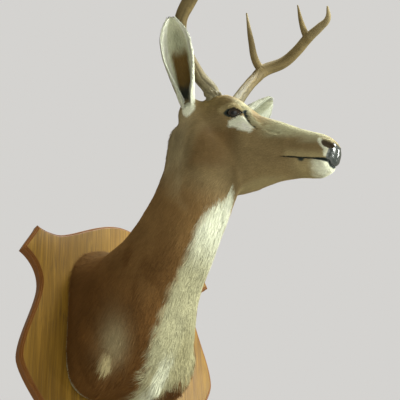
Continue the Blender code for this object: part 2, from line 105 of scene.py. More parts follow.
def ripple(points, size, seed):
    # smooth, even-tempered noise in about -1 to 1, from a few crossed waves
    local = np.random.default_rng(seed)
    total = np.zeros(len(points))
    for _ in range(7):
        way = local.normal(size=3)
        way *= local.uniform(0.6, 1.7) / (np.linalg.norm(way) * size)
        total += np.sin(points @ way * 2 * math.pi + local.uniform(0, 6.28) + 0.9 * total)
    return total / 3.2


def between(low, high, share):
    return low * (1 - share) + high * share


def toneOf(colour):
    return palette[colour] if isinstance(colour, str) else np.asarray(colour)


def onSide(place, way):
    # a place or direction of the head's frame, mirrored where way is -1
    return np.array(place) * (1, way, 1)


def lengths(vectors):
    return np.linalg.norm(vectors, axis=1)


def dots(a, b):
    return np.einsum("ij,ij->i", a, b)


def layered(base, *layers):
    # colours laid over one another in this order, each by its own share
    base = toneOf(base)
    for colour, share in layers:
        base = between(base, toneOf(colour), np.clip(share, 0, 1)[:, None])
    return base


def distanceToPath(points, path):
    # distance from points to a polyline, and how far along it as a share
    best, along = np.full(len(points), 1e9), np.zeros(len(points))
    path = np.asarray(path, float)
    for i, (a, b) in enumerate(zip(path, path[1:])):
        t = np.clip(((points - a) @ (b - a)) / ((b - a) @ (b - a)), 0, 1)
        d = lengths(points - (a + t[:, None] * (b - a)))
        along = np.where(d < best, (i + t) / (len(path) - 1), along)
        best = np.minimum(best, d)
    return best, along


def addObject(name, data):
    obj = bpy.data.objects.new(name, data)
    home.objects.link(obj)
    return obj


def meshFrom(name, work):
    bmesh.ops.recalc_face_normals(work, faces=work.faces)
    mesh = bpy.data.meshes.new(name)
    work.to_mesh(mesh)
    work.free()
    return mesh


def meshFromArrays(name, points, triangles):
    mesh = bpy.data.meshes.new(name)
    mesh.vertices.add(len(points))
    mesh.vertices.foreach_set("co", np.ascontiguousarray(points, np.float32).ravel())
    mesh.loops.add(len(triangles) * 3)
    mesh.loops.foreach_set("vertex_index", np.ascontiguousarray(triangles, np.int32).ravel())
    mesh.polygons.add(len(triangles))
    mesh.polygons.foreach_set("loop_start", np.arange(0, len(triangles) * 3, 3, dtype=np.int32))
    mesh.update(calc_edges=True)
    mesh.polygons.foreach_set("use_smooth", np.ones(len(triangles), bool))
    return mesh


def readVectors(mesh, name="co"):
    vectors = np.empty(len(mesh.vertices) * 3, np.float32)
    mesh.vertices.foreach_get(name, vectors)
    return vectors.reshape(-1, 3).astype(float)


def readSurface(mesh):
    return readVectors(mesh), readVectors(mesh, "normal")


def writePoints(mesh, points):
    mesh.vertices.foreach_set("co", np.ascontiguousarray(points, np.float32).ravel())
    mesh.update()


def treeOf(points):
    tree = KDTree(len(points))
    for i, point in enumerate(points):
        tree.insert(point, i)
    tree.balance()
    return tree


def paint(mesh, name, colours):
    layer = mesh.color_attributes.new(name, "FLOAT_COLOR", "POINT")
    full = np.ones((len(colours), 4), np.float32)
    full[:, :3] = colours
    layer.data.foreach_set("color", full.ravel())


def paintMask(mesh, name, values):
    paint(mesh, name, np.repeat(np.clip(values, 0, 1)[:, None], 3, axis=1))


def meshOf(obj):
    # the object's mesh with its modifiers or bevel worked in
    graph = bpy.context.evaluated_depsgraph_get()
    return bpy.data.meshes.new_from_object(obj.evaluated_get(graph))


def remade(obj, name, *steps):
    # the object's mesh after the given modifiers; the object itself goes
    for kind, values in steps:
        step = obj.modifiers.new(kind.lower(), kind)
        for key, value in values.items():
            setattr(step, key, value)
    mesh = meshOf(obj)
    mesh.name = name
    bpy.data.objects.remove(obj, do_unlink=True)
    return addObject(name, mesh)


def softened(obj, name, voxel, rounds):
    return remade(obj, name, ("REMESH", {"mode": "VOXEL", "voxel_size": voxel}),
                  ("SMOOTH", {"factor": 0.5, "iterations": rounds}))


def ringsInto(work, rings):
    rows = [[work.verts.new(p) for p in ring] for ring in rings]
    count = len(rows[0])
    for low, high in zip(rows, rows[1:]):
        for k in range(count):
            work.faces.new((low[k], low[(k + 1) % count], high[(k + 1) % count], high[k]))
    work.faces.new(rows[0][::-1])
    work.faces.new(rows[-1])


def ballInto(work, centre, radii, turn=None):
    made = bmesh.ops.create_uvsphere(work, u_segments=28, v_segments=14, radius=1.0)
    place = Matrix.Translation(centre) @ (turn or Matrix()).to_3x3().to_4x4()
    bmesh.ops.transform(work, verts=made["verts"], matrix=place @ Matrix.Diagonal((*radii, 1.0)))


# the head's own frame: x forward, y to the deer's left, z up, in millimetres
headPlan = {
    "centre": (0.1172, -0.3251, 0.3916), "turn": 25.1, "nod": 17.1, "tilt": 6.2,
    # forward, top, brow (half width, height), cheek, jaw, bottom
    "stations": (
        (-112, 24, (20, 16), (26, -6), (18, -34), -46),
        (-98, 48, (36, 36), (46, -2), (32, -68), -92),
        (-76, 60, (42, 50), (57, -8), (39, -98), -122),
        (-50, 60, (46, 48), (60, -12), (42, -114), -138),
        (-25, 52, (52, 38), (60, -16), (42, -119), -141),
        (-5, 37, (55, 28), (58, -20), (40, -119), -139),
        (12, 22, (50, 19), (55, -28), (38, -117), -135),
        (28, 10, (41, 6), (51, -38), (37, -114), -130),
        (50, 6, (30, 0), (45, -50), (34, -110), -124),
        (77, -1, (22, -8), (38, -60), (31, -104), -117),
        (104, -11, (18, -19), (34, -66), (28, -102), -114),
        (125, -19, (17, -26), (32, -68), (25, -102), -113),
        (150, -27, (17, -33), (31, -66), (23, -104), -115),
        (166, -32, (18, -37), (30, -66), (21, -105), -116),
        (177, -37, (19, -42), (29, -66), (20, -102), -112),
        (185, -42, (18, -46), (27, -66), (19, -96), -104),
        (191, -47, (17, -50), (25, -67), (17, -88), -94),
        (196, -53, (15, -56), (21, -69), (14, -83), -88),
        (199, -60, (11, -62), (15, -70), (11, -78), -81)),
    "earRoot": ((-104, 52, 12), (30, 25, 34)),
    "eye": (-5, 45, 8), "eyeRadius": 16.5,
    "mouthStart": 98, "mouthHeight": -80.5, "mouthSlope": 0.095,
    "foldsFrom": -70, "fineFrom": 92,      # where the folds of the face and the finer muzzle begin
}


def headMatrix():
    turn, nod, tilt = (math.radians(headPlan[k]) for k in ("turn", "nod", "tilt"))
    forward = Vector((math.sin(turn) * math.cos(nod), -math.cos(turn) * math.cos(nod),
                      -math.sin(nod)))
    levelLeft = Vector((math.cos(turn), math.sin(turn), 0.0))
    left = levelLeft * math.cos(tilt) + forward.cross(levelLeft) * math.sin(tilt)
    axes = Matrix((forward, left, forward.cross(left))).transposed()
    return Matrix.Translation(headPlan["centre"]) @ axes.to_4x4() @ Matrix.Scale(mm, 4)


headFrame = headMatrix()
headAxes = np.array(headFrame.to_3x3()) / mm          # columns: forward, left, up
headCentre = np.array(headPlan["centre"])


def toHead(points):
    return (points - headCentre) @ headAxes / mm


def fromHead(points):
    return np.asarray(points, float) @ headAxes.T * mm + headCentre


def turnFromHead(ways):
    return np.asarray(ways, float) @ headAxes.T


neckPlan = {
    # centre, lean, turn, half width, half depth, squareness, taper, from the board to the poll
    "stations": (
        ((-0.002, -0.0223, 0.052), 0, 0, 0.115, 0.146, 4.6, 0.04),
        ((-0.004, -0.055, 0.050), 3, 0, 0.121, 0.152, 3.6, 0.03),
        ((-0.008, -0.090, 0.054), 13, 2, 0.116, 0.147, 2.6, 0.00),
        ((-0.009, -0.122, 0.078), 28, 4, 0.103, 0.130, 2.3, 0.00),
        ((-0.004, -0.150, 0.112), 42, 6, 0.088, 0.108, 2.1, 0.00),
        ((0.010, -0.186, 0.155), 52, 8, 0.076, 0.095, 2.0, 0.00),
        ((0.025, -0.218, 0.205), 58, 10, 0.069, 0.088, 2.0, 0.00),
        ((0.041, -0.240, 0.258), 62, 14, 0.065, 0.086, 2.0, 0.00),
        ((0.056, -0.249, 0.310), 66, 18, 0.066, 0.086, 2.0, 0.00),
        ((0.065, -0.249, 0.356), 70, 22, 0.069, 0.082, 2.0, 0.00),
        ((0.070, -0.246, 0.396), 73, 25, 0.063, 0.070, 2.0, 0.00),
        ((0.074, -0.246, 0.428), 75, 25, 0.040, 0.042, 2.0, 0.00)),
    "upperArm": ((0.071, -0.096, -0.004), (0.044, 0.050, 0.084)), "chestMiddle": -0.007,
    "boardGap": 0.0223, "hideRim": 0.0340,      # nearest skin and nearest hair to the wall
    "ridgeAt": 172, "guides": 90,               # middle ridge of the chest, in degrees from the nape
}


def neckTable():
    table = np.array([(*row[0], *row[1:]) for row in neckPlan["stations"]], float)
    steps = lengths(np.diff(table[:, :3], axis=0))
    return table, np.concatenate([[0], np.cumsum(steps)])


def neckFrame(at):
    # centre, side, outward and up of the ring at this run of the neck, with its sizes
    table, run = neckTable()
    x, y, z, lean, turn, wide, deep, square, taper = (
        float(smoothKeys(run, table[:, k], at)) for k in range(9))
    lean, turn = math.radians(lean), math.radians(turn)
    side = np.array((math.cos(turn), math.sin(turn), 0))
    out = np.array((math.sin(turn), -math.cos(turn), 0))
    up = np.array((0, 0, 1)) * math.cos(lean) - out * math.sin(lean)
    return np.array((x, y, z)), side, out, up, wide, deep, square, taper


def neckGuides():
    # runs of even steps along the neck, then the centre, side, up and cutting plane at each
    ats = np.linspace(0, neckTable()[1][-1], neckPlan["guides"])
    frames = [neckFrame(at) for at in ats]
    centre, side, up = (np.array([f[k] for f in frames]) for k in (0, 1, 3))
    return ats, centre, side, up, np.cross(side, up)


guides = neckGuides()


def neckRings(count):
    rings = []
    for at in np.linspace(0, neckTable()[1][-1], count):
        centre, side, _, up, wide, deep, square, taper = neckFrame(at)
        ring = []
        for angle in np.linspace(0, 2 * math.pi, 64, endpoint=False):
            c, s = math.cos(angle), math.sin(angle)
            along = math.copysign(abs(c) ** (2 / square), c)
            across = math.copysign(abs(s) ** (2 / square), s) * (1 - taper * along)
            ring.append(Vector(centre + side * across * wide + up * along * deep))
        rings.append(ring)
    return rings


def headRings(count):
    table = np.array([(u, t, *b, *c, *j, low) for u, t, b, c, j, low in headPlan["stations"]], float)
    keys = table[:, 0]
    even = np.linspace(keys[0], keys[-1], count)
    rings = []
    for at in np.unique(np.concatenate([even[:-2], keys[-4:]])):
        top, browW, browZ, cheekW, cheekZ, jawW, jawZ, low = (
            smoothKeys(keys, table[:, k], at) for k in range(1, 9))
        half = [(browW, browZ), (cheekW, cheekZ), (jawW, jawZ)]
        loop = closedSpline([(0, top)] + half + [(0, low)] + [(-w, z) for w, z in half[::-1]], 64)
        rings.append([headFrame @ Vector((at, y, z)) for y, z in loop])
    return rings


# each ear is a leaf of skin, rolled into a tube at its root
earPlan = {
    "base": (-110, 56, 24), "length": {"left": 170, "right": 180},
    "aim": {"left": (0.24, 0.74, 0.63), "right": (0.08, 0.65, 0.75)},
    "facing": {"left": 25, "right": 62},
    # share along the ear, half width along the arc, half angle of the roll
    "spread": ((0.0, 28, 160), (0.15, 38, 150), (0.35, 45, 124), (0.55, 47, 102),
               (0.75, 40, 82), (0.90, 26, 64), (1.0, 9, 50)),
    "bow": 6, "thick": 3.6,
    "tone": {"left": 0.58, "right": 1.0},    # the left ear's colours are darkened, painted shade for an ear that lies in shade
}


def earAxes(side):
    way = sideSigns[side]
    aim = unit(onSide(earPlan["aim"][side], way))
    facing = math.radians(earPlan["facing"][side])
    openTo = onSide((math.cos(facing), math.sin(facing), 0.0), way)
    openTo = unit(openTo - aim * (openTo @ aim))
    return aim, openTo, np.cross(aim, openTo)


def earLeaf(side, share, turn):
    # point of the leaf and the way to the middle of its cup; turn runs -1 to 1 round the cup
    aim, openTo, across = earAxes(side)
    spread = np.array(earPlan["spread"])
    arc = smoothKeys(spread[:, 0], spread[:, 1], share)
    wrap = np.radians(smoothKeys(spread[:, 0], spread[:, 2], share))
    radius, angle = arc / wrap, wrap * turn
    base = onSide(earPlan["base"], sideSigns[side])
    back = (base + aim * (share * earPlan["length"][side])[:, None]
            - openTo * (earPlan["bow"] * np.sin(math.pi * share))[:, None])
    point = (back + across * (radius * np.sin(angle))[:, None]
             + openTo * (radius * (1 - np.cos(angle)))[:, None])
    inward = openTo * np.cos(angle)[:, None] - across * np.sin(angle)[:, None]
    return point, inward


def earShell(side):
    rows, columns = 46, 41
    shares, turns = np.meshgrid(np.linspace(0, 1, rows), np.linspace(-1, 1, columns), indexing="ij")
    point, _ = earLeaf(side, shares.ravel(), turns.ravel())
    work = bmesh.new()
    grid = np.array([work.verts.new(p) for p in fromHead(point)]).reshape(rows, columns)
    for low, high in zip(grid, grid[1:]):
        for k in range(columns - 1):
            work.faces.new((low[k], low[k + 1], high[k + 1], high[k]))
    leaf = addObject("earShell", meshFrom("earShell", work))
    return remade(leaf, "earShell", ("SOLIDIFY", {"thickness": earPlan["thick"] * mm, "offset": 0.0}))


skinPlan = {
    "softVoxel": 0.0045, "softRounds": 12, "voxel": 0.0024, "rounds": 3,
    "depth": (3.2, 2.6, 1.3, 0.6),      # room left for hair on the trunk, neck, face and muzzle
    "shade": 0.85,                      # skin under the hair is a little darker
    # finer faces within this reach of the eye; opening's half length, height and depth
    "eyeReach": 30, "lidOpen": (16.2, 6.8, 9.6), "lidCorner": 1.46,
    "eyeAxis": (0.335, 0.885, -0.360), "eyeLevel": (0.985, 0.0, -0.07),
    "shoulderPoint": (0.092, -0.128, -0.056), "shoulderRise": 5.0,
}


def fleshBase():
    # the same forms as the solids, joined and eased
    work = bmesh.new()
    ringsInto(work, neckRings(44))
    ringsInto(work, headRings(60))
    (out, *arm), armSize = neckPlan["upperArm"]
    (forward, aside, up), rootSize = headPlan["earRoot"]
    turn = headFrame.to_3x3().normalized()
    for way in (1, -1):
        ballInto(work, (neckPlan["chestMiddle"] + way * out, *arm), armSize)
        root = headFrame @ Vector((forward, way * aside, up))
        ballInto(work, root, [r * mm for r in rootSize], turn)
    body = softened(addObject("fleshBase", meshFrom("fleshBase", work)), "fleshBase",
                    skinPlan["softVoxel"], skinPlan["softRounds"])
    work = bmesh.new()
    for piece in (body, *(earShell(side) for side in sideSigns)):
        work.from_mesh(piece.data)
        bpy.data.objects.remove(piece, do_unlink=True)
    whole = addObject("fleshWhole", meshFrom("fleshWhole", work))
    return softened(whole, "deerSkin", skinPlan["voxel"], skinPlan["rounds"])


def earMarks():
    # leaf points of both ears: place, way into the cup, share along, turn to the rear border
    marks = []
    shares, turns = (g.ravel() for g in np.meshgrid(np.linspace(0.1, 1, 60), np.linspace(-1, 1, 40)))
    for side in sideSigns:
        point, inward = earLeaf(side, shares, turns)
        marks.append(np.column_stack([fromHead(point), turnFromHead(inward), shares,
                                      turns * sideSigns[side]]))
    return np.vstack(marks)


def earPlaces(points):
    # for skin on an ear: share along it, turn to its rear border, and 1 on its inner face
    head, marks = toHead(points), earMarks()
    tree = treeOf(marks[:, :3])
    found = np.zeros((len(points), 3))
    byEars = (head[:, 2] > 15) & (np.abs(head[:, 1]) > 50) & (head[:, 0] < -20)
    for i in np.nonzero(byEars)[0]:
        _, nearest, distance = tree.find(points[i])
        if distance < 4.5 * mm:
            mark = marks[nearest]
            found[i] = mark[6], mark[7], (points[i] - mark[:3]) @ mark[3:6] > 0
    return found


def neckPlace(points):
    # run along the neck, angle round it (0 at the nape, pi at the throat) and the nearest ring
    ats, centre, side, up, normal = guides
    flat = np.abs(points @ normal.T - dots(centre, normal))
    square = (points ** 2).sum(1)[:, None] + (centre ** 2).sum(1) - 2 * points @ centre.T
    pick = np.argmin(flat + 0.15 * np.sqrt(np.maximum(square, 0)), axis=1)
    offset = points - centre[pick]
    sideways, upward, along = (dots(offset, way[pick]) for way in (side, up, normal))
    return np.clip((ats[pick] - along) / ats[-1], 0, 1), np.arctan2(sideways, upward), pick


def refine(obj):
    # finer faces round the eyes and over the muzzle
    work = bmesh.new()
    work.from_mesh(obj.data)
    forward, out, up = headPlan["eye"]
    turn = headFrame.inverted()
    spots = [Vector((forward + 8, way * (out + 9), up - 8)) for way in (1, -1)]
    fine, finer = [], []
    for edge in work.edges:
        place = turn @ ((edge.verts[0].co + edge.verts[1].co) / 2)
        if min((place - spot).length for spot in spots) < skinPlan["eyeReach"]:
            finer.append(edge)
        elif place.x > headPlan["fineFrom"]:
            fine.append(edge)
    for edges, cuts in ((finer, 2), (fine, 1)):
        bmesh.ops.subdivide_edges(work, edges=[e for e in edges if e.is_valid], cuts=cuts,
                                  use_grid_fill=True, smooth=0.4)
    bmesh.ops.triangulate(work, faces=work.faces)
    work.to_mesh(obj.data)
    work.free()


def eyeAxes(side):
    # outward, forward and up of the eye opening, in the head's frame
    way = sideSigns[side]
    out = unit(onSide(skinPlan["eyeAxis"], way))
    level = unit(np.array(skinPlan["eyeLevel"]))
    forward = unit(level - out * (level @ out))
    return out, forward, unit(np.cross(out, forward) * way)


def eyeLocal(head, side):
    # forward, up and out of the eye's middle, then the distance across, the angle round it,
    # and how far outside the lids' edge the place is
    out, forward, up = eyeAxes(side)
    offset = head - onSide(headPlan["eye"], sideSigns[side])
    x, y, z = offset @ forward, offset @ up, offset @ out
    across, angle = np.hypot(x, y), np.arctan2(y, x)
    return x, y, z, across, angle, across - lidEdge(angle)


def lidEdge(angle):
    half, high, low = skinPlan["lidOpen"]
    power = skinPlan["lidCorner"]
    across = np.abs(np.cos(angle) / half) ** power
    upright = np.abs(np.sin(angle) / np.where(np.sin(angle) > 0, high, low)) ** power
    return (across + upright) ** (-1 / power)


def lidRim(angle):
    # width of the dark lid margin: wide at the rear corner, narrow below
    rear = np.maximum(-np.cos(angle), 0) ** 4
    return 1.1 + 4.2 * rear + 1.5 * np.maximum(np.sin(angle), 0) ** 2


def carveEye(head, side):
    # lids that ride over the ball, round an almond opening
    radius = headPlan["eyeRadius"]
    _, _, z, across, angle, beyond = eyeLocal(head, side)
    above = ease(-0.1, 0.4, np.sin(angle))
    fold = 1.5 * ease(4.2, 7.5, beyond) - 1.1 * ease(2.6, 4.2, beyond)
    lift = 0.5 + 1.6 * ease(-0.2, 1.6, beyond) + above * fold
    ball = np.sqrt(np.maximum((radius + lift) ** 2 - across ** 2, 0))
    ball = np.where(across < radius + lift - 0.5, ball, -20)
    dome = np.maximum(ball, z) + np.exp(-np.abs(ball - z) / 2.2) * 0.7
    dome = np.where(ball > -10, dome, z)
    inside = np.sqrt(np.maximum(radius ** 2 - across ** 2, 0)) - 1.0 - 2.2 * ease(0, 2, -beyond)
    target = np.where(beyond > 0, dome, inside)
    shift = np.where((across < 34) & (z > -4), target - z, 0)
    return head + eyeAxes(side)[0] * shift[:, None]


# lines on the side of the face as forward and up, in millimetres
creasePath = ((18, 8), (23.5, -2), (28, -10), (35, -18), (46, -28))
browPath = ((-34, 45), (-13, 38), (7, 26), (21, 12), (33, -4), (44, -16))
# folds: line, height, width, and how far out from the middle they start and are full
faceFolds = (
    (browPath, 2.4, 6, 10, 30),
    (((70, -36), (100, -48), (135, -54)), 1.2, 11, 10, 22),                    # muscle of the snout
    (((68, -31), (88, -35)), -1.3, 2.2, 14, 26),
    (((40, -54), (75, -68), (96, -76)), -2.2, 11, 14, 26),                     # hollow of the cheek
    (((-66, -60), (-58, -100), (-30, -122), (20, -118)), 2.0, 14, 14, 26),     # jaw
    (((82, -84), (92, -87.5)), -1.4, 1.8, 14, 26),                             # corner of the mouth
)


def mouthLine(u, w):
    start = headPlan["mouthStart"]
    front = ease(176, 188, u) * fade(6, 18, np.abs(w))
    return headPlan["mouthHeight"] - headPlan["mouthSlope"] * (u - start) - 5 * front


nostrilPlan = {
    "centre": (187, 22, -60), "faces": (0.62, 0.74, 0.12), "along": (0.812, -0.509, -0.282),
    "half": (12.0, 6.4), "deep": 9.0, "rim": 1.3,
}


def nostrilPlace(head, sign):
    # place along and across the opening, as shares of its half sizes, and depth along its axis
    centre, out, along = (onSide(nostrilPlan[k], sign) for k in ("centre", "faces", "along"))
    out, offset = unit(out), head - centre
    along = unit(unit(along) - out * (unit(along) @ out))
    long, high = nostrilPlan["half"]
    a, b = offset @ along / long, offset @ np.cross(out, along) * sign / high
    return a, b + 0.35 * a ** 2 - 0.12, offset @ out, out          # it bends down at both ends


def sculptHead(points, normals):
    # folds of the face, in the head's millimetres
    head, way = toHead(points), normals @ headAxes
    u, w, v = head.T
    lateral, flat = np.abs(w), np.column_stack([u, v])
    push = np.zeros(len(u))
    for path, height, width, start, full in faceFolds:
        push += height * bell(distanceToPath(flat, path)[0], width) * ease(start, full, lateral)
    # mouth, lips and chin
    drop = v - mouthLine(u, w)
    start = headPlan["mouthStart"]
    inMouth = ease(start - 10, start + 4, u)
    push -= 3.6 * bell(drop, 1.5) * inMouth
    push += 1.3 * bell(drop - 6, 5.0) * inMouth * ease(100, 130, u)
    push += 1.6 * bell(drop + 7, 6.0) * ease(140, 162, u) * fade(178, 190, u)
    # the split of the nose pad
    push -= 0.9 * bell(w, 1.2) * ease(188, 194, u) * (drop > 1) * (v < -62)
    out = head + way * push[:, None]
    # nostrils: a bent pit with a raised wing behind and below
    for sign in (1, -1):
        a, b, depth, axis = nostrilPlace(head, sign)
        inside = a ** 2 + b ** 2
        here = (w * sign > 2) * (np.abs(depth) < 14)
        pit = nostrilPlan["deep"] * fade(0.30, 1.15, inside) * here
        wing = nostrilPlan["rim"] * bell(np.sqrt(inside) - 1.35, 0.28) * here
        out = out + axis * (wing * ease(0.5, -0.6, b + 0.5 * a) - pit)[:, None]
    # tear crease that runs forward and down from the eye
    crease, share = distanceToPath(flat, creasePath)
    deep = 4.4 * bell(crease, 4.4 - 3.2 * share) * (1 - 0.55 * share) * ease(14, 26, lateral)
    return out - way * deep[:, None]


# rear border of the nose pad: height, forward
padEdge = ((-98, 184.5), (-90, 185.5), (-80, 187), (-70, 189.5), (-64, 192), (-59, 193.5), (-54, 195),
           (-49, 201))


def padMask(head):
    # 1 on the bare pad: the front of the nose between the nostrils, down to the lip
    u, w, v = head.T
    edge = np.interp(v, *zip(*padEdge)) + 0.25 * np.sin(w * 0.9)
    return ease(-1.0, 1.0, u - edge) * ease(-0.5, 1.2, v - mouthLine(u, w))


def skinMasks(points):
    # which bits are bare: nose pad, nostrils, lid rims, tear crease and lips
    head = toHead(points)
    u, w, v = head.T
    lateral, flat = np.abs(w), np.column_stack([u, v])
    pad, hole = padMask(head), np.zeros(len(points))
    crease, share = distanceToPath(flat, creasePath)
    tear = fade(0.8, 1.4, crease / (4.2 - 3.2 * share)) * ease(25, 32, lateral)
    bare = np.maximum(pad, tear)
    for side, sign in sideSigns.items():
        _, _, z, across, angle, beyond = eyeLocal(head, side)
        rim = fade(0.6, 1.6, beyond / lidRim(angle)) * (z > 0) * (across < 30)
        a, b, depth, _ = nostrilPlace(head, sign)
        pit = fade(0.9, 1.5, a ** 2 + b ** 2) * (w * sign > 0) * (np.abs(depth) < 16)
        bare, hole = np.maximum.reduce([bare, rim, pit]), np.maximum(hole, pit)
    drop, start = v - mouthLine(u, w), headPlan["mouthStart"]
    lipWide = 1.5 + 1.5 * ease(160, 184, u)
    lip = fade(0.6, 1.5, np.abs(drop) / lipWide) * ease(start - 6, start + 8, u)
    blot = fade(0.5, 1.3, np.hypot((u - 140) / 8.0, (drop + 3.0) / 4.4)) * (lateral > 10)
    return np.maximum.reduce([bare, lip, blot]), pad, hole


# markings, shared by skin and tufts
palette = {
    "trunk": (0.128, 0.058, 0.015), "neck": (0.240, 0.141, 0.052), "nape": (0.165, 0.102, 0.040),
    "face": (0.265, 0.195, 0.092), "snout": (0.320, 0.300, 0.170), "crown": (0.215, 0.156, 0.066),
    "cream": (0.455, 0.440, 0.275), "white": (0.890, 0.930, 0.740), "pale": (0.540, 0.460, 0.240),
    "grey": (0.350, 0.290, 0.162), "brown": (0.085, 0.036, 0.010), "chestFan": (0.385, 0.360, 0.205),
    "bare": (0.020, 0.030, 0.028), "nostril": (0.100, 0.076, 0.050), "edgeHide": (0.360, 0.335, 0.220),
    "earBack": (0.210, 0.154, 0.072), "earInside": (0.600, 0.620, 0.430),
    "earPocket": (0.150, 0.092, 0.026), "earShade": (0.240, 0.250, 0.150),
}
palette = {name: np.array(colour) for name, colour in palette.items()}
# cream of the throat and chest: run along the neck, then half angle on the deer's right and left
creamBand = ((0.00, -4, 12), (0.05, -3, 13), (0.10, -1, 15), (0.14, 3, 22), (0.17, 6, 50), (0.20, 9, 56),
             (0.25, 12, 54), (0.31, 13, 44), (0.38, 14, 38), (0.46, 16, 35), (0.53, 18, 34),
             (0.59, 18, 30), (0.63, 14, 26), (0.67, -2, 19), (0.70, -14, 6), (0.74, -24, -12),
             (1.0, -60, -60))


faceLines = {
    # line, share, distances where it starts to fade and ends, how far out it starts and is full
    "lids": (((-24, 12), (-5, 20), (10, 16)), 0.45, (4, 13), (25, 38)),
    # the brow line is pale hair, with a painted highlight along the lit rim of the forehead
    "brow": (browPath, 0.75, (1.5, 6.0), (20, 32)),
    "snout": (((42, -14), (66, -24), (92, -31)), 0.75, (3, 10), (16, 24)),
    "underEye": (((2, -17), (18, -21), (34, -27)), 1.0, (4, 10), (25, 38)),
    "innerEye": (((9, -10), (20, -9), (27, -16)), 0.9, (3, 6), (25, 38)),
    "nostril": (((172, -51), (179, -61), (186, -69), (187, -80)), 0.8, (2.2, 4.8), (12, 18)),
}


def shoulderSpot(way):
    # shoulder point on the deer's left for 1 and right for -1, about the middle of the chest
    out, *rest = skinPlan["shoulderPoint"]
    return np.array((neckPlan["chestMiddle"] + way * (out + neckPlan["chestMiddle"]), *rest))


def overHead(points):
    # 1 on the head, 0 on the neck
    head = toHead(points)
    return (ease(-108, -66, head[:, 0] + 0.25 * head[:, 2])
            * ease(-170, -122, head[:, 2] + 0.15 * head[:, 0]))


def offRidge(angle):
    # degrees round from the middle ridge of the chest, positive to the deer's right
    return np.degrees(angle) % 360 - neckPlan["ridgeAt"]


def chestRidge(run, angle):
    # smooth pale ridge down the middle of the brisket
    return fade(3.6, 6.2, np.abs(offRidge(angle))) * ease(0.225, 0.185, run)


def faceLine(head, name, fray=0.0):
    # share of a soft line on both sides of the face, which a positive fray eats into
    path, share, border, start = faceLines[name]
    off, _ = distanceToPath(head[:, [0, 2]], path)
    return share * fade(*border, off + fray) * ease(*start, np.abs(head[:, 1]))


def creamShare(points, run, angle):
    band = np.array(creamBand)
    fine, slow = ripple(points, 0.010, 5), ripple(points, 0.05, 8)
    off = np.degrees(math.pi - np.abs(angle))
    half = np.where(angle < 0, smoothKeys(band[:, 0], band[:, 1], run),
                    smoothKeys(band[:, 0], band[:, 2], run))
    return fade(-6.5, 5.0, off - half - 2.0 * fine - 1.5 * slow)


def bodyColour(points, slow, fine, cream):
    # neck and trunk, with painted highlights on the shoulders (a pale spot on each shoulder point, a
    # grey patch above it), a cream throat and brisket, and painted shadows on the chest
    run, angle, _ = neckPlace(points)
    colour = layered("trunk", ("neck", ease(0.20, 0.62, run + 0.04 * slow)),
                     ("grey", 0.9 * ease(0.58, 0.80, run + 0.03 * slow)),
                     ("nape", 0.7 * bell(angle, 0.5)))
    # painted highlight on each shoulder: a pale spot on its point and a grey patch above it, where light
    # catches the bulge
    for way in (1, -1):
        offset = points - shoulderSpot(way) + (0.006 * way, 0, 0)
        root = lengths((offset + (0, 0.002, -0.010)) * (1, 1, 0.5)) + 0.002 * fine
        above = lengths((offset + (0, 0.032, -0.034)) * (1.1, 0.8, 0.45))
        colour = layered(colour, ("pale", 0.95 * fade(0.008, 0.014, root)),
                         ("grey", 0.85 * bell(above, 0.023)))
    off = offRidge(angle)
    tone = layered(
        "cream", ("chestFan", ease(0.32, 0.22, run) * ease(0, 12, np.where(angle > 0, -off, 0))),
        ("white", np.maximum(0.6 * chestRidge(run, angle), 0.8 * ease(0.40, 0.58, run))),
        # painted shadow: a grey line in the furrow on the deer's right of the middle ridge
        ("grey", 0.55 * bell(off - 8, 2.4) * bell(run - 0.155, 0.026)),
        ("chestFan", 0.5 * ease(5, 9, off) * bell(run - 0.13, 0.04)))
    # painted shadow: a dark brown spot in the hollow between the forelegs, on the deer's left
    spot = bell(np.degrees(angle) - 150, 14) * bell(run - 0.105, 0.035)
    return layered(colour, (tone, cream), ("brown", 0.85 * spot))


def faceColour(points, head, slow, fine):
    u, w, v = head.T
    drop, below = v - mouthLine(u, w), fade(-2, 1, v - mouthLine(u, w))
    nape = ease(30, -15, u + 3 * slow) * ease(-64, -44, u) * ease(-10, -40, v) * ease(-135, -100, v)
    along = distanceToPath(head[:, [0, 2]], browPath)[1]
    flecks = ease(-0.5, 0.8, ripple(points * (1, 1, 1.6), 0.006, 31))
    aside = 0.55 * (0.45 + 0.55 * ease(5, 15, np.abs(w)))
    # cream on top of the muzzle, fainter down its middle: pale flecks, and a painted highlight where
    # light falls on the top
    top = ease(45, 80, u) * ease(-48, -36, v) * (0.4 + 0.6 * flecks)
    chin = ease(148, 184, u + 3 * fine + 4 * ripple(points, 0.03, 6))
    underJaw = ease(-100, -116, v + 0.05 * u) * fade(10, 30, np.abs(w)) * ease(-40, 10, u)
    return layered(
        "face", ("crown", ease(-6, 30, v) * fade(-10, 40, u)), ("nape", 0.90 * nape),
        ("snout", ease(40, 90, u) * ease(-50, -28, v)),
        # brow line: pale hair, and a painted highlight at the forehead's rim
        ("pale", faceLine(head, "lids")), ("cream", faceLine(head, "brow") * ease(0.15, 0.5, along)),
        ("cream", flecks * faceLine(head, "snout")), ("white", faceLine(head, "underEye", 1.8 * fine)),
        ("white", faceLine(head, "innerEye", fine)),
        ("pale", 0.50 * ease(96, 120, u) * fade(6, 20, drop) * ease(-1, 1, drop)),       # upper lip
        # painted highlight and pale flecks on top of the muzzle
        ("cream", aside * top), ("cream", aside * ease(120, 155, u) * ease(-62, -50, v)),
        ("pale", 0.35 * ease(110, 140, u) * below), ("white", 0.85 * chin * below),
        ("white", faceLine(head, "nostril")), ("pale", 0.5 * underJaw))


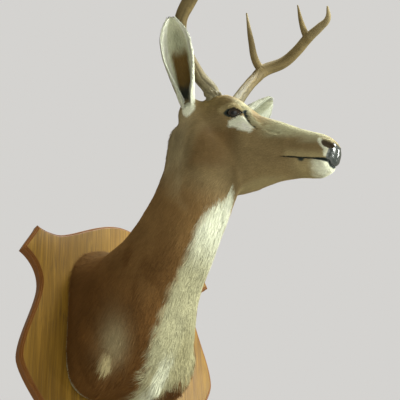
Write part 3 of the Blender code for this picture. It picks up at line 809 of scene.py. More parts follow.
def coatColour(points):
    head = toHead(points)
    run, angle, _ = neckPlace(points)
    slow, fine = ripple(points, 0.09, 3), ripple(points, 0.012, 5)
    cream, rim = creamShare(points, run, angle), -neckPlan["hideRim"]
    colour = layered(bodyColour(points, slow, fine, cream),
                     (faceColour(points, head, slow, fine), overHead(points) * (1 - cream)))
    for side in sideSigns:                 # pale rim under each ear's opening
        edge = earLeaf(side, np.full(2, 0.04), np.array((-0.97, 0.97)))[0].mean(axis=0)
        # on the left side this pale rim is darkened too, painted shade of that ear
        colour = layered(colour, (palette["white"] * earPlan["tone"][side],
                                  0.9 * fade(12, 17, lengths(head - edge))))
    # pale grey hide where the trunk meets the board
    colour = layered(colour, ("edgeHide", 0.9 * ease(rim - 0.0015, rim + 0.0005, points[:, 1])))
    return np.clip(colour * (1 + 0.07 * slow + 0.05 * fine)[:, None], 0.003, 0.9)


def earColour(share, rear, inner):
    # brown back, pale borders (the rear one broad) and a brown pocket low in the cup: the cup's darker
    # middle with painted shade, near black at its root
    border = np.where(rear > 0, 0.80, 0.45) - 0.30 * fade(0.10, 0.24, share)
    back = layered("earBack", ("nape", 0.4 * ease(0.75, 1.0, share)),
                   ("white", 0.85 * ease(border, border + 0.16, np.abs(rear))))
    streaks = 0.5 + 0.5 * np.sin(rear * 34 + 5 * np.sin(share * 9) + share * 12)
    shade = bell(rear + 0.12, 0.42) * ease(0.50, 0.60, share) * fade(0.78, 0.92, share)
    # painted shade deep in the cup, laid over its darker middle
    pocket = fade(0.32, 0.54, np.abs(rear + 0.08)) * fade(0.54, 0.68, share)
    front = 0.62 - 0.24 * fade(0.10, 0.35, share)
    rims = np.maximum(ease(0.42, 0.58, rear), ease(front, front + 0.16, -rear))
    cup = layered("earInside", ("earShade", (0.35 + 0.4 * streaks) * shade), ("earPocket", pocket),
                  ("bare", 0.9 * pocket * fade(0.18, 0.28, share)), ("white", rims))
    return np.where(np.asarray(inner)[:, None] > 0.5, cup, back)


def coatDepth(points):
    trunk, neck, face, muzzle = skinPlan["depth"]
    body = between(trunk, neck, ease(0.1, 0.4, neckPlace(points)[0]))
    front = between(face, muzzle, ease(60, 165, toHead(points)[:, 0]))
    rim = -neckPlan["hideRim"]
    bareRim = ease(rim - 0.003, rim + 0.001, points[:, 1])
    return between(body, front, overHead(points)) * (1 - bareRim) * mm


def sculptBody(points, normals):
    # shoulder points, the ridge of the brisket and the hollows on both sides of it
    run, angle, _ = neckPlace(points)
    off = np.degrees(math.pi - np.abs(angle))
    push = 3.5 * bell(offRidge(angle), 5) * bell(run - 0.13, 0.06)
    push -= 3.0 * bell(off - 24, 9) * bell(run - 0.15, 0.07)
    for way in (1, -1):
        away = lengths(points - shoulderSpot(way))
        push += skinPlan["shoulderRise"] * bell(away, 0.020)
    return points + normals * (push * mm)[:, None]


def makeSkin():
    skin = fleshBase()
    refine(skin)
    points, normals = readSurface(skin.data)
    ear = earPlaces(points)
    onEar, notEar = ease(0.02, 0.14, ear[:, 0]), ear[:, 0] == 0
    points = points - normals * (coatDepth(points) * (1 - onEar))[:, None]
    low = toHead(points)[:, 0] < headPlan["foldsFrom"]
    points[low] = sculptBody(points[low], normals[low])
    points[:, 1] = np.minimum(points[:, 1], -neckPlan["boardGap"])
    writePoints(skin.data, points)
    normals = readVectors(skin.data, "normal")
    front = (toHead(points)[:, 0] > headPlan["foldsFrom"]) & notEar
    sculpted = sculptHead(points[front], normals[front])
    for side in sideSigns:
        sculpted = carveEye(sculpted, side)
    points[front] = fromHead(sculpted)
    writePoints(skin.data, points)
    bare, pad, hole = (mask * notEar for mask in skinMasks(points))
    # the left ear's skin colours are darkened, painted shade
    tone = np.where(toHead(points)[:, 1] > 0, earPlan["tone"]["left"], earPlan["tone"]["right"])
    colour = layered(coatColour(points), (earColour(*ear.T) * tone[:, None], onEar))
    colour = layered(colour * skinPlan["shade"], ("bare", bare), ("nostril", hole))
    paint(skin.data, "markings", colour)
    paintMask(skin.data, "bareSkin", bare)
    paintMask(skin.data, "nosePad", pad)
    print("skin:", len(skin.data.polygons), "faces")
    return skin, ear[:, 0], bare


def growTufts(name, grown):
    # closed three-sided blades, widest a third of the way along
    root, normal, way = grown["root"], grown["normal"], grown["way"]
    length, width, lift = grown["length"][:, None], grown["width"][:, None], grown["lift"][:, None]
    across = unit(np.cross(way, normal))
    base = root - normal * grown["sink"][:, None]
    belly = root + way * (0.36 * length * np.cos(lift)) + normal * (0.46 * length * np.sin(lift))
    tip = (root + way * (length * np.cos(lift)) + normal * (length * np.sin(lift))
           + across * (grown["curl"][:, None] * length))
    under, half = belly - normal * width * 0.08, across * width * 0.5
    points = np.stack([base, under - half, under + half, belly + normal * width * 0.26, tip], axis=1)
    shape = np.array([(0, 3, 1), (0, 2, 3), (0, 1, 2), (1, 3, 4), (3, 2, 4), (2, 1, 4)])
    count = len(root)
    triangles = (shape[None] + (np.arange(count) * 5)[:, None, None]).reshape(-1, 3)
    mesh = meshFromArrays(name, points.reshape(-1, 3), triangles)
    tone = np.array([0.80, 0.96, 0.96, 1.0, 1.08])
    colours = grown["colour"][:, None, :] * tone[None, :, None]
    tipShare = np.array([0, 0, 0, 0, 1.0])[None, :, None] * grown["pale"][:, None, None]
    colours = between(colours, np.minimum(colours * 1.6 + 0.02, 0.85), tipShare)
    paint(mesh, "markings", colours.reshape(-1, 3))
    patch = np.array([(0.0, -0.5), (-0.5, 0.0), (0.5, 0.0), (0.0, 0.0), (0.0, 0.5)]) * 0.003
    spots = (np.clip(grown["uv"], 0.004, 0.996)[:, None, :] + patch[None]).reshape(-1, 2)
    layer = mesh.uv_layers.new(name="OFBake")
    layer.data.foreach_set("uv", spots[triangles.ravel()].astype(np.float32).ravel())
    # blades are lit much like the skin below, so that they read as one soft coat
    tilt = np.array([0, -0.38, 0.38, 0, 0])[None, :, None]
    lit = unit(normal[:, None, :] + across[:, None, :] * tilt)
    mesh.shade_smooth()
    mesh.normals_split_custom_set_from_vertices(lit.reshape(-1, 3))
    return addObject(name, mesh)


def scatter(points, normals, triangles, weight, count):
    # even places over the skin, more where the weight is high
    corner = points[triangles]
    area = lengths(np.cross(corner[:, 1] - corner[:, 0], corner[:, 2] - corner[:, 0]))
    share = np.cumsum(area * weight[triangles].mean(axis=1))
    at = (np.arange(count) + dice.random(count)) / count * share[-1]
    pick = np.clip(np.searchsorted(share, at), 0, len(triangles) - 1)
    a, b = dice.random((2, count))
    flip = a + b > 1
    a, b = np.where(flip, 1 - a, a), np.where(flip, 1 - b, b)
    mixing = np.column_stack([1 - a - b, a, b])[:, :, None]
    spot = triangles[pick]
    return (points[spot] * mixing).sum(axis=1), unit((normals[spot] * mixing).sum(axis=1))


def lieOfHair(points, normals):
    # the way the coat runs: back from the nose, down the neck, in to the wall over the trunk
    head = toHead(points)
    u, w, v = head.T
    run, angle, pick = neckPlace(points)
    tangent = unit(np.gradient(guides[1], axis=0))
    down = unit(-tangent[pick] + np.array((0, 0, -0.35)) * ease(0.45, 0.10, run)[:, None])
    # the brisket: hair fans out to both sides of the middle ridge, and falls below it
    off = offRidge(angle)
    front = bell(off, 46) * ease(0.30, 0.20, run)
    fan = np.column_stack([np.clip(-off / 14, -0.8, 0.8), np.zeros(len(u)), np.full(len(u), -1.2)])
    body = unit(down * (1 - 0.8 * front)[:, None] + unit(fan) * (0.8 * front)[:, None])
    face = np.column_stack([-np.ones(len(u)), 0.10 * np.sign(w),
                            -0.12 - 0.45 * ease(-10, -70, v) * fade(60, 120, u)])
    for side in sideSigns:               # hair parts round the eye
        x, y, z, across, _, beyond = eyeLocal(head, side)
        near = bell(across, 20) * (z > 0)
        away = 1.6 * fade(3, 9, beyond) * (z > 0) / np.maximum(across, 1)
        face[:, 0] += 0.2 * near + away * np.maximum(x, 0)
        face[:, 2] += 0.6 * near * np.clip(y / 5, -1, 1) + away * y
    way = unit(between(body, unit(turnFromHead(face)), overHead(points)[:, None]))
    wander = 0.08 * ripple(points, 0.030, 11) + 0.05 * ripple(points, 0.010, 12)
    whorl = bell(off - 13, 7) * bell(run - 0.155, 0.035)
    wander += (0.20 * front + 0.9 * whorl) * ripple(points, 0.022, 13)
    wander *= 1 - 0.9 * chestRidge(run, angle)
    way = way + np.cross(normals, way) * wander[:, None]
    return unit(way - normals * dots(way, normals)[:, None])


def pastEarRoots(head):
    # distance from the middle of the nearer ear's root, in millimetres
    past, turns = np.full(len(head), 99.0), np.array((-1.0, 0.0, 1.0))
    for side in sideSigns:
        line = [earLeaf(side, np.full(3, at), turns)[0].mean(axis=0) for at in (0.0, 0.10)]
        past = np.minimum(past, distanceToPath(head, line)[0])
    return past


def pastLids(head):
    # how far outside the dark lid margins a place on the face is, in millimetres
    past = np.full(len(head), 30.0)
    for side in sideSigns:
        _, _, z, across, angle, beyond = eyeLocal(head, side)
        past = np.where((z > 0) & (across < 30), beyond - 0.8 - 0.5 * lidRim(angle), past)
    return past


coatPlan = {
    # length, width and sunk root in millimetres, lift in degrees
    "face": {"length": 7.0, "width": 0.80, "lift": 6.5, "sink": 0.3},
    "muzzle": {"length": 4.0, "width": 0.60, "lift": 7, "sink": 0.25},
    "neck": {"length": 17, "width": 1.15, "lift": 5, "sink": 0.5},
    "cream": {"length": 25, "width": 1.05, "lift": 5.5, "sink": 0.5},
    "trunk": {"length": 21, "width": 1.30, "lift": 5.5, "sink": 0.5},
    "counts": {"trunk": 25000, "neck": 31000, "throat": 27000, "face": 32000},
    "slots": {"trunk": "trunk", "neck": "neck", "throat": "neck", "face": "head"},
    # how much blades differ, and the least and most they may
    "vary": {"length": (0.22, 0.5, 1.5), "width": (0.2, 0.6, 1.5), "lift": (0.30, 0.2, 1.9)},
    "trunkTo": 0.27, "throatFrom": 2.35,       # run where the neck begins; radians from the nape
    "earGap": 9, "quickShare": 3, "quickWidth": 1.6,
}
thin, stout = ((1, 1.0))


def varied(plan, key, jitter):
    spread, least, most = plan["vary"][key]
    return np.clip(1 + spread * jitter, least, most)


def tuftSizes(points, cream):
    onHead, onMuzzle = overHead(points), ease(60, 150, toHead(points)[:, 0])
    upNeck = ease(0.1, 0.35, neckPlace(points)[0])
    sizes = {}
    for key in ("length", "width", "lift", "sink"):
        trunk, neck, long, face, muzzle = (coatPlan[k][key]
                                           for k in ("trunk", "neck", "cream", "face", "muzzle"))
        body = between(between(trunk, neck, upNeck), long, cream)
        sizes[key] = between(body, between(face, muzzle, onMuzzle), onHead)
    return sizes


def growRegion(name, kind, surface, weight):
    # the blades of one piece of the coat
    count = coatPlan["counts"][kind] // thin
    root, normal = scatter(*surface, weight, count)
    way, colour = lieOfHair(root, normal), coatColour(root)
    run, angle, _ = neckPlace(root)
    place, lightness = toHead(root), colour.mean(axis=1)
    sizes = tuftSizes(root, ease(0.30, 0.50, lightness))
    jitter = dice.normal(size=(7, count))
    calm = 1 - 0.8 * chestRidge(run, angle)
    way = unit(way + np.cross(normal, way) * (0.07 * calm * jitter[0])[:, None])
    nearEar = 1 - 0.7 * fade(14, 56, pastEarRoots(place))       # short and flat by the ears
    length = sizes["length"] * mm * varied(coatPlan, "length", jitter[1])
    length = length * (0.35 + 0.65 * ease(1, 8, pastLids(place))) * nearEar
    lift = sizes["lift"] * (0.4 + 0.6 * calm) * varied(coatPlan, "lift", jitter[3]) * nearEar
    # blades beside the board stop at the bare rim of hide
    rim, reach = -neckPlan["hideRim"], root[:, 1] + way[:, 1] * length
    room = (rim - root[:, 1]) / np.maximum(reach - root[:, 1], 1e-6)
    cut = np.clip(room + 0.12 * jitter[5], 0.12, 1)
    length = length * np.where(reach > rim, cut, 1)
    if kind == "face":       # unwrapped round the head's own axis, as the rest is round the neck
        angle, run = np.arctan2(place[:, 1], place[:, 2] + 50), (place[:, 0] + 120) / 330
    return growTufts(name, {
        "root": root, "normal": normal, "way": way, "length": length, "lift": np.radians(lift),
        "width": sizes["width"] * mm * varied(coatPlan, "width", jitter[2]) * stout,
        "sink": sizes["sink"] * mm, "curl": 0.05 * jitter[6] * calm,
        "colour": np.clip(colour * (1 + 0.07 * jitter[4])[:, None], 0.003, 0.9),
        "pale": np.clip(0.10 + 0.15 * jitter[5], 0, 0.6) * (lightness < 0.3),
        "uv": np.column_stack([angle / (2 * math.pi) + 0.5, run]),
    })


def makeCoat(skin, onEar, bare):
    points, normals = readSurface(skin.data)
    triangles = np.empty(len(skin.data.polygons) * 3, np.int32)
    skin.data.polygons.foreach_get("vertices", triangles)
    surface = points, normals, triangles.reshape(-1, 3)
    head = toHead(points)
    u, w, v = head.T
    run, angle, _ = neckPlace(points)
    onHead = overHead(points) > 0.5
    # none on bare skin, on the flat back, on the ears or inside the eye openings
    free = fade(0.15, 0.5, bare) * (points[:, 1] < -neckPlan["hideRim"] - 0.001)
    free = free * (onEar < 0.04) * (pastLids(head) > 0) * (pastEarRoots(head) > coatPlan["earGap"])
    low = run < coatPlan["trunkTo"]
    throat = (np.abs(angle) > coatPlan["throatFrom"]) & ~onHead
    body, left = ~throat & ~onHead, angle > 0
    dense = 1 + 1.2 * ease(60, 140, u) + 0.8 * bell(np.hypot(u - 5, v), 35)
    regions = {
        "coatTrunkLeft": ("trunk", body & low & left),
        "coatTrunkRight": ("trunk", body & low & ~left),
        "coatNeckLeft": ("neck", body & ~low & left),
        "coatNeckRight": ("neck", body & ~low & ~left),
        "coatThroat": ("throat", throat),
        "coatFaceLeft": ("face", onHead & (w > 0)),
        "coatFaceRight": ("face", onHead & (w <= 0)),
    }
    pieces = []
    for name, (kind, where) in regions.items():
        weight = free * where * (dense if kind == "face" else 1)
        pieces.append((growRegion(name, kind, surface, weight), coatPlan["slots"][kind]))
    print("coat on body and face:", sum(len(p.data.polygons) for p, _ in pieces), "faces")
    return pieces


earCoatPlan = {
    "back": {"count": 6500, "length": 8, "width": 0.9, "lift": 6},
    "inner": {"count": 7500, "length": 12, "width": 0.75, "lift": 6},
    "fringe": {"count": 2600, "length": 6, "width": 0.75, "lift": 10},
    "vary": {"length": (0.25, 0.4, 1.6), "width": (0.2, 0.6, 1.5), "lift": (0.3, 0.3, 1.8)},
}


def earTufts(side, kind):
    # blades on the back of the ear, in its cup, or along its edge
    plan, half = earCoatPlan[kind], earPlan["thick"] / 2
    count = plan["count"] // thin
    share, turn = dice.random(count) * 0.97 + 0.02, dice.uniform(-1, 1, count)
    if kind == "back":
        turn = turn * 0.96
    elif kind == "inner":        # dense along both borders, thin in the pocket
        edge, front = dice.random(count), -0.97 + 0.6 * dice.random(count)
        rear = 0.97 - 0.6 * dice.random(count)
        turn = np.where(edge < 0.40, front, np.where(edge < 0.75, rear, turn))
        share = 0.08 + 0.90 * dice.random(count)
    else:
        turn = np.sign(turn) * (0.975 + 0.025 * dice.random(count))
        share = 0.09 + 0.91 * dice.random(count)
    point, inward = earLeaf(side, share, turn)
    along = unit(earLeaf(side, np.minimum(share + 0.02, 1.02), turn)[0] - point)
    around = unit(earLeaf(side, share, turn + 0.02)[0] - point)
    outward = np.sign(turn)[:, None] * around
    jitter = dice.normal(size=(6, count))
    stray = around * ((0.10 if kind == "fringe" else 0.12) * jitter[0])[:, None]
    normal = -inward if kind == "back" else inward
    root = point + normal * half
    way = along + stray
    tone = earColour(share, turn * sideSigns[side], np.full(count, kind == "inner"))
    if kind == "inner":
        way = along * 0.9 - outward * (0.35 * np.abs(turn))[:, None] + stray
    elif kind == "fringe":
        way, root, normal = along * 0.95 + outward * 0.18 + stray, point, inward * 0.4 + outward * 0.8
        tone = layered(tone, ("white", np.full(count, 0.75)))
    # the left ear's hair is darkened, painted shade
    tone = tone * earPlan["tone"][side] * (1 + 0.10 * jitter[4])[:, None]
    taper = 1 - 0.45 * ease(0.75, 1.0, share)
    return {
        "root": fromHead(root), "normal": turnFromHead(unit(normal)), "way": unit(turnFromHead(way)),
        "length": plan["length"] * mm * varied(earCoatPlan, "length", jitter[1]) * taper,
        "width": plan["width"] * mm * varied(earCoatPlan, "width", jitter[2]) * stout,
        "lift": np.radians(plan["lift"] * varied(earCoatPlan, "lift", jitter[3])),
        "sink": np.full(count, 0.4 * mm), "curl": 0.05 * jitter[5],
        "colour": np.clip(tone, 0.003, 0.9), "pale": np.full(count, 0.12),
        "uv": np.column_stack([0.24 * (turn + 1) + (0.0 if kind == "back" else 0.51), share]),
    }


def makeEarCoat(side):
    parts = [earTufts(side, kind) for kind in ("back", "inner", "fringe")]
    grown = {key: np.concatenate([part[key] for part in parts]) for key in parts[0]}
    return growTufts("coatEar" + side.title(), grown)


eyePlan = {
    "cornea": (0.9, 8.5), "iris": (9.5, 10.6), "pupil": (6.4, 3.6),      # in millimetres
    "ringColour": (0.020, 0.014, 0.010), "irisColour": (0.030, 0.019, 0.011),
    "pupilColour": (0.004, 0.004, 0.006),
}


def makeEye(side):
    # glass ball with a faint bulge where the cornea is, pupil and iris painted on by place
    name, radius = "eye" + side.title(), headPlan["eyeRadius"]
    work = bmesh.new()
    bmesh.ops.create_uvsphere(work, u_segments=64, v_segments=40, radius=radius)
    # the ball's faces come in another order on each run, so they are sorted along a slant
    slant = Vector((1.0, 31.0, 977.0))
    work.faces.sort(key=lambda face: face.calc_center_median().dot(slant))
    mesh = meshFrom(name, work)
    points = readVectors(mesh)
    x, y, z = points.T
    across = np.hypot(x, y)
    rise, wide = eyePlan["cornea"]
    points = points * (1 + rise * bell(across, wide) * (z > 0) / radius)[:, None]
    iris = fade(*eyePlan["iris"], across) * (z > 0)
    long, high = eyePlan["pupil"]
    pupil = fade(0.85, 1.15, np.hypot(x / long, y / high)) * (z > 0)
    spokes = 0.75 + 0.25 * np.sin(np.arctan2(y, x) * 46 + 2.0 * np.sin(across * 1.7))
    colour = layered(eyePlan["ringColour"], (eyePlan["irisColour"], iris * spokes),
                     (eyePlan["pupilColour"], pupil))
    out, forward, up = eyeAxes(side)
    centre = onSide(headPlan["eye"], sideSigns[side])
    writePoints(mesh, fromHead(points @ np.array((forward, up, out)) + centre))
    mesh.shade_smooth()
    paint(mesh, "irisColour", colour)
    if side == "right":          # the axes of this side are a mirror image
        mesh.flip_normals()
    print(name, "done")
    return addObject(name, mesh)


antlerPlan = {
    # forward, out, up and radius in the head's frame, from the skull to the tip
    "beam": ((-70, 34, 38, 15), (-70, 37, 56, 14.5), (-74, 62, 90, 13), (-83, 105, 139, 12),
             (-86, 131, 167, 12.5), (-78, 145, 189, 14), (-39, 162, 213, 12.5),
             (-10, 159, 233, 11.5), (23, 146, 255, 11), (56, 132, 268, 9), (80, 117, 276, 6.5),
             (91, 90, 290, 2)),
    "rearTine": ((-78, 143, 187, 9), (-90, 130, 206, 8.5), (-94, 105, 246, 6.5), (-103, 86, 304, 1.8)),
    "frontTine": ((23, 146, 252, 8), (17, 139, 265, 7.5), (12, 128, 284, 5.5), (6, 113, 319, 1.6)),
    "burr": ((-70, 37, 56), 18), "growth": {"left": 1.0, "right": 1.06},
    "bow": {"left": (0, 0, 0), "right": (-25, 2, -4)}, "bowTop": 189,
    "voxel": 0.0012, "rounds": 4, "grooveDepth": 0.75, "pearlHeight": 1.0, "burrHeight": 1.6,
    "grooves": ((7, 0.5), (13, 0.32), (21, 0.2)),       # how many round the beam, and their share
    "tineLength": 125.0, "rootColour": (0.270, 0.240, 0.150), "beamColour": (0.200, 0.150, 0.065),
    "tipColour": (0.340, 0.280, 0.160),
}


def antlerPlace(place, side):
    start = Vector(antlerPlan["burr"][0])
    grown = start + (Vector(place) - start) * antlerPlan["growth"][side]
    share = min(max((place[2] - start.z) / (antlerPlan["bowTop"] - start.z), 0.0), 1.0)
    grown += Vector(antlerPlan["bow"][side]) * math.sin(math.pi * share)
    return headFrame @ Vector((grown.x, grown.y * sideSigns[side], grown.z))


def hornInto(work, stations, side):
    # a tapering rod along the stations, and the centre line it follows
    curve = bpy.data.curves.new("horn", "CURVE")
    curve.dimensions = "3D"
    curve.resolution_u = 16
    curve.bevel_depth, curve.bevel_resolution = mm, 6
    curve.use_fill_caps = True
    spline = curve.splines.new("BEZIER")
    spline.bezier_points.add(len(stations) - 1)
    for point, (*place, radius) in zip(spline.bezier_points, stations):
        point.co = antlerPlace(place, side)
        point.radius = radius
        point.handle_left_type = point.handle_right_type = "AUTO"
    drawn = addObject("horn", curve)
    mesh = meshOf(drawn)
    made = bmesh.new()
    made.from_mesh(mesh)
    bmesh.ops.remove_doubles(made, verts=made.verts, dist=1e-5)
    made.to_mesh(mesh)
    made.free()
    work.from_mesh(mesh)
    curve.bevel_depth, curve.use_fill_caps = 0, False
    line = readVectors(meshOf(drawn))
    bpy.data.objects.remove(drawn, do_unlink=True)
    return line


def makeAntler(side):
    name = "antler" + side.title()
    work = bmesh.new()
    lines = [hornInto(work, antlerPlan[k], side) for k in ("beam", "rearTine", "frontTine")]
    centre, radius = antlerPlan["burr"]
    burr = antlerPlace(centre, side)
    ballInto(work, burr, [radius * mm, radius * mm, 0.007], headFrame.to_3x3().normalized())
    rod = addObject(name, meshFrom(name, work))
    antler = softened(rod, name, antlerPlan["voxel"], antlerPlan["rounds"])
    mesh = antler.data
    points, normals = readSurface(mesh)
    # height along and angle round the nearest centre line
    centres = np.vstack(lines)
    runs = [np.cumsum([0, *lengths(np.diff(line, axis=0))]) / mm for line in lines]
    ways = np.vstack([unit(np.gradient(line, axis=0)) for line in lines])
    tree = treeOf(centres)
    pick = np.array([tree.find(p)[1] for p in points])
    onTine = pick >= len(lines[0])
    height = np.concatenate(runs)[pick]
    offset = points - centres[pick]
    level = unit(np.cross(ways[pick], np.array((0.3, 0.2, 1.0))))
    angle = np.arctan2(dots(offset, np.cross(ways[pick], level)), dots(offset, level))
    # rough and grooved low on the beam, smooth and pale at the tips
    rough = np.where(onTine, 0.35 * fade(10, 60, height), fade(60, 330, height))
    twist = 0.35 * np.sin(height * 0.015) + 0.12 * ripple(points, 0.05, 21)
    groove = np.zeros(len(points))
    for count, weight in antlerPlan["grooves"]:
        groove += weight * np.sin(count * (angle + twist / (1 + 0.02 * count)) + count * 1.7)
    groove = np.minimum(groove, 0.15)
    pearls = np.maximum(ripple(points, 0.0065, 22) - 0.35, 0)
    fromBurr = points - np.array(burr)
    push = antlerPlan["grooveDepth"] * groove * (0.12 + 0.88 * rough)
    push += antlerPlan["pearlHeight"] * pearls * bell(lengths(fromBurr) / mm, 26)
    rim = bell(fromBurr @ headAxes[:, 2] / mm, 4.5) * (height < 60) * ~onTine
    teeth = np.maximum(np.sin(11 * angle + 2 * np.sin(3 * angle)), -0.2)
    push += antlerPlan["burrHeight"] * rim * teeth
    points = points + normals * (push * mm)[:, None]
    writePoints(mesh, points)
    length = np.where(onTine, antlerPlan["tineLength"], runs[0][-1])
    colour = layered(antlerPlan["beamColour"],
                     (antlerPlan["rootColour"], 0.85 * fade(20, 150, height) * ~onTine),
                     (antlerPlan["tipColour"], 0.8 * ease(0.62, 1.0, height / length)))
    specks = ease(0.55, 1.3, ripple(points, 0.0035, 25)) * rough * ~onTine
    depth = 0.08 + 0.46 * rough * ~onTine
    shade = 1 - depth + depth * np.clip(0.5 + 0.9 * groove, 0, 1)
    colour *= ((1 - 0.5 * specks) * shade * (1 + 0.07 * ripple(points, 0.02, 24)))[:, None]
    paint(mesh, "boneColour", np.clip(colour, 0.01, 0.9))
    mesh.shade_smooth()
    print(name, len(mesh.polygons), "faces")
    return antler


boardPlan = {
    "thick": 0.022, "points": 22,
    # right half of the outline, top to bottom: place, then handles before and after
    "outline": (((0.0, 0.283), (-0.05, 0), (0.05, 0)),
                ((0.140, 0.233), (-0.030, 0.001), (0.018, 0)),
                ((0.182, 0.244), (-0.010, -0.007), (0.006, -0.016)),
                ((0.211, 0.188), (-0.008, 0.018), (-0.018, -0.010)),
                ((0.172, 0.122), (0.001, 0.032), (-0.001, -0.036)),
                ((0.206, -0.024), (0.001, 0.042), (-0.001, -0.050)),
                ((0.0, -0.283), (0.048, 0.046), (-0.048, 0.046))),
    # routed edge, side to face: inset from the outline and height below the face
    "edge": ((0.0003, 0.0056), (0.0010, 0.0052), (0.0018, 0.0045), (0.0023, 0.0036),
             (0.0026, 0.0026), (0.0027, 0.0022), (0.0041, 0.0021), (0.0046, 0.0015),
             (0.0051, 0.0007), (0.0058, 0.0002), (0.0066, 0.0)),
    "backEase": 0.0008, "edgeDark": 0.75,
}


def boardOutline():
    half = [[np.array(v, float) for v in row] for row in boardPlan["outline"]]
    flip = np.array((-1, 1))
    loop = half + [[p * flip, b * flip, a * flip] for p, a, b in half[-2:0:-1]]
    points = []
    for (start, _, after), (end, before, _) in zip(loop, loop[1:] + loop[:1]):
        for t in np.linspace(0, 1, boardPlan["points"], endpoint=False):
            points.append((1 - t) ** 3 * start + 3 * (1 - t) ** 2 * t * (start + after)
                          + 3 * (1 - t) * t ** 2 * (end + before) + t ** 3 * end)
    return np.array(points)


def insetLoop(outline, distance):
    # points moved in by the distance; those that would cross at a corner gather at it
    edge = np.roll(outline, -1, axis=0) - outline
    square = unit(np.column_stack([edge[:, 1], -edge[:, 0]]))
    inward = unit(square + np.roll(square, 1, axis=0))
    stretch = np.clip(1 / dots(inward, square), 1, 1.6)
    moved = outline + inward * (distance * stretch)[:, None]
    closed = np.vstack([outline, outline[:1]])
    good = distanceToPath(moved, closed)[0] > 0.985 * distance
    place, count = np.arange(len(outline)), len(outline)
    for i in np.nonzero(~good)[0]:
        away = np.abs((place - i + count // 2) % count - count // 2)
        moved[i] = moved[np.argmin(np.where(good, away, count))]
    return moved


def makeBoard():
    outline = boardOutline()
    thick, backEase = boardPlan["thick"], boardPlan["backEase"]
    levels = [(backEase, 0.0), (0.0, backEase)]
    levels += [(inset, thick - below) for inset, below in boardPlan["edge"]]
    rings = []
    for inset, height in levels:
        loop = insetLoop(outline, inset) if inset else outline
        rings.append([Vector((x, -height, z)) for x, z in loop])
    work = bmesh.new()
    ringsInto(work, rings)
    bmesh.ops.remove_doubles(work, verts=work.verts, dist=2e-5)
    bmesh.ops.dissolve_degenerate(work, edges=work.edges, dist=1e-6)
    bmesh.ops.triangulate(work, faces=work.faces)
    mesh = meshFrom("shieldBoard", work)
    mesh.shade_smooth()
    mesh.set_sharp_from_angle(angle=math.radians(30))
    depth = readVectors(mesh)[:, 1]
    flat = (depth < -thick + 0.0001) | (depth > -0.0001)
    paintMask(mesh, "routedEdge", np.where(flat, 0.0, boardPlan["edgeDark"]))
    return addObject("shieldBoard", mesh)


def addNode(tree, kind, inputs=None, **settings):
    # each input is given as a value, or as the output that feeds it
    node = tree.nodes.new("ShaderNode" + kind)
    for key, value in settings.items():
        setattr(node, key, value)
    for label, value in (inputs or {}).items():
        if isinstance(value, bpy.types.NodeSocket):
            tree.links.new(value, node.inputs[label])
        else:
            node.inputs[label].default_value = value
    return node


def combined(tree, operation, a, b):
    return addNode(tree, "Math", {0: a, 1: b}, operation=operation).outputs[0]


def remap(tree, value, low, high, start=0.0, end=1.0):
    return addNode(tree, "MapRange", {0: value, 1: start, 2: end, 3: low, 4: high}).outputs[0]


def blend(tree, share, base, other, way="MIX"):
    node = addNode(tree, "Mix", data_type="RGBA", blend_type=way)
    for index, value in ((0, share), (6, base)):
        tree.links.new(value, node.inputs[index])
    node.inputs[7].default_value = (*other, 1)
    return node.outputs[2]


def placeIn(tree):
    return addNode(tree, "TexCoord").outputs["Object"]


def noise(tree, place, scale, detail=2.0, roughness=0.5):
    return addNode(tree, "TexNoise", {"Vector": place, "Scale": scale, "Detail": detail,
                                      "Roughness": roughness}).outputs["Fac"]


def mottleGroup():
    # uneven tone: two sizes of noise that lighten and darken a colour
    group = bpy.data.node_groups.new("unevenTone", "ShaderNodeTree")
    sockets = (("INPUT", "Color", "Color"), ("INPUT", "Patch Scale", "Float"),
               ("INPUT", "Grain Scale", "Float"), ("INPUT", "Amount", "Float"),
               ("OUTPUT", "Color", "Color"), ("OUTPUT", "Mask", "Float"))
    for way, label, kind in sockets:
        group.interface.new_socket(name=label, in_out=way, socket_type="NodeSocket" + kind)
    start = group.nodes.new("NodeGroupInput").outputs
    end = group.nodes.new("NodeGroupOutput").inputs
    place = placeIn(group)
    both = combined(group, "ADD", noise(group, place, start["Patch Scale"], 3.0),
                    noise(group, place, start["Grain Scale"]))
    change = combined(group, "SUBTRACT", both, 1.0)
    change = combined(group, "MULTIPLY", change, start["Amount"])
    gain = combined(group, "ADD", change, 1.0)
    tint = addNode(group, "VectorMath", {0: start["Color"], "Scale": gain}, operation="SCALE")
    group.links.new(tint.outputs["Vector"], end["Color"])
    group.links.new(both, end["Mask"])
    return group


finishes = {
    # the shader's own values
    "deerHair": {"Roughness": 0.60, "Specular IOR Level": 0.06},
    "deerSkin": {"Specular IOR Level": 0.15, "Coat Roughness": 0.20, "Coat IOR": 1.9},
    "glassEye": {"Roughness": 0.05, "Specular IOR Level": 0.45},
    "antlerBone": {"Specular IOR Level": 0.22},
    "oiledOak": {"Specular IOR Level": 0.18, "Coat Weight": 0.03, "Coat Roughness": 0.3},
    "paleFloor": {"Roughness": 0.8, "Base Color": (0.72, 0.71, 0.69, 1)},
}
# scale of the patches, scale of the grain and amount
unevenness = {"deerHair": (26.0, 420.0, 0.35), "deerSkin": (40.0, 500.0, 0.4),
              "antlerBone": (30.0, 260.0, 0.4)}


def newMaterial(name):
    material = bpy.data.materials.new(name)
    material.use_nodes = True
    tree = material.node_tree
    shader = tree.nodes["Principled BSDF"].inputs
    for label, value in finishes[name].items():
        shader[label].default_value = value
    return material, tree, shader


def mottledMaterial(name, layer, mottle):
    # a material with its painted layer made uneven, and the mask of that
    material, tree, shader = newMaterial(name)
    patch, grain, amount = unevenness[name]
    tone = addNode(tree, "Group", {"Color": colourFrom(tree, layer), "Patch Scale": patch,
                                   "Grain Scale": grain, "Amount": amount}, node_tree=mottle)
    tree.links.new(tone.outputs["Color"], shader["Base Color"])
    return material, tree, shader, tone.outputs["Mask"]


def colourFrom(tree, layer):
    return addNode(tree, "VertexColor", layer_name=layer).outputs["Color"]


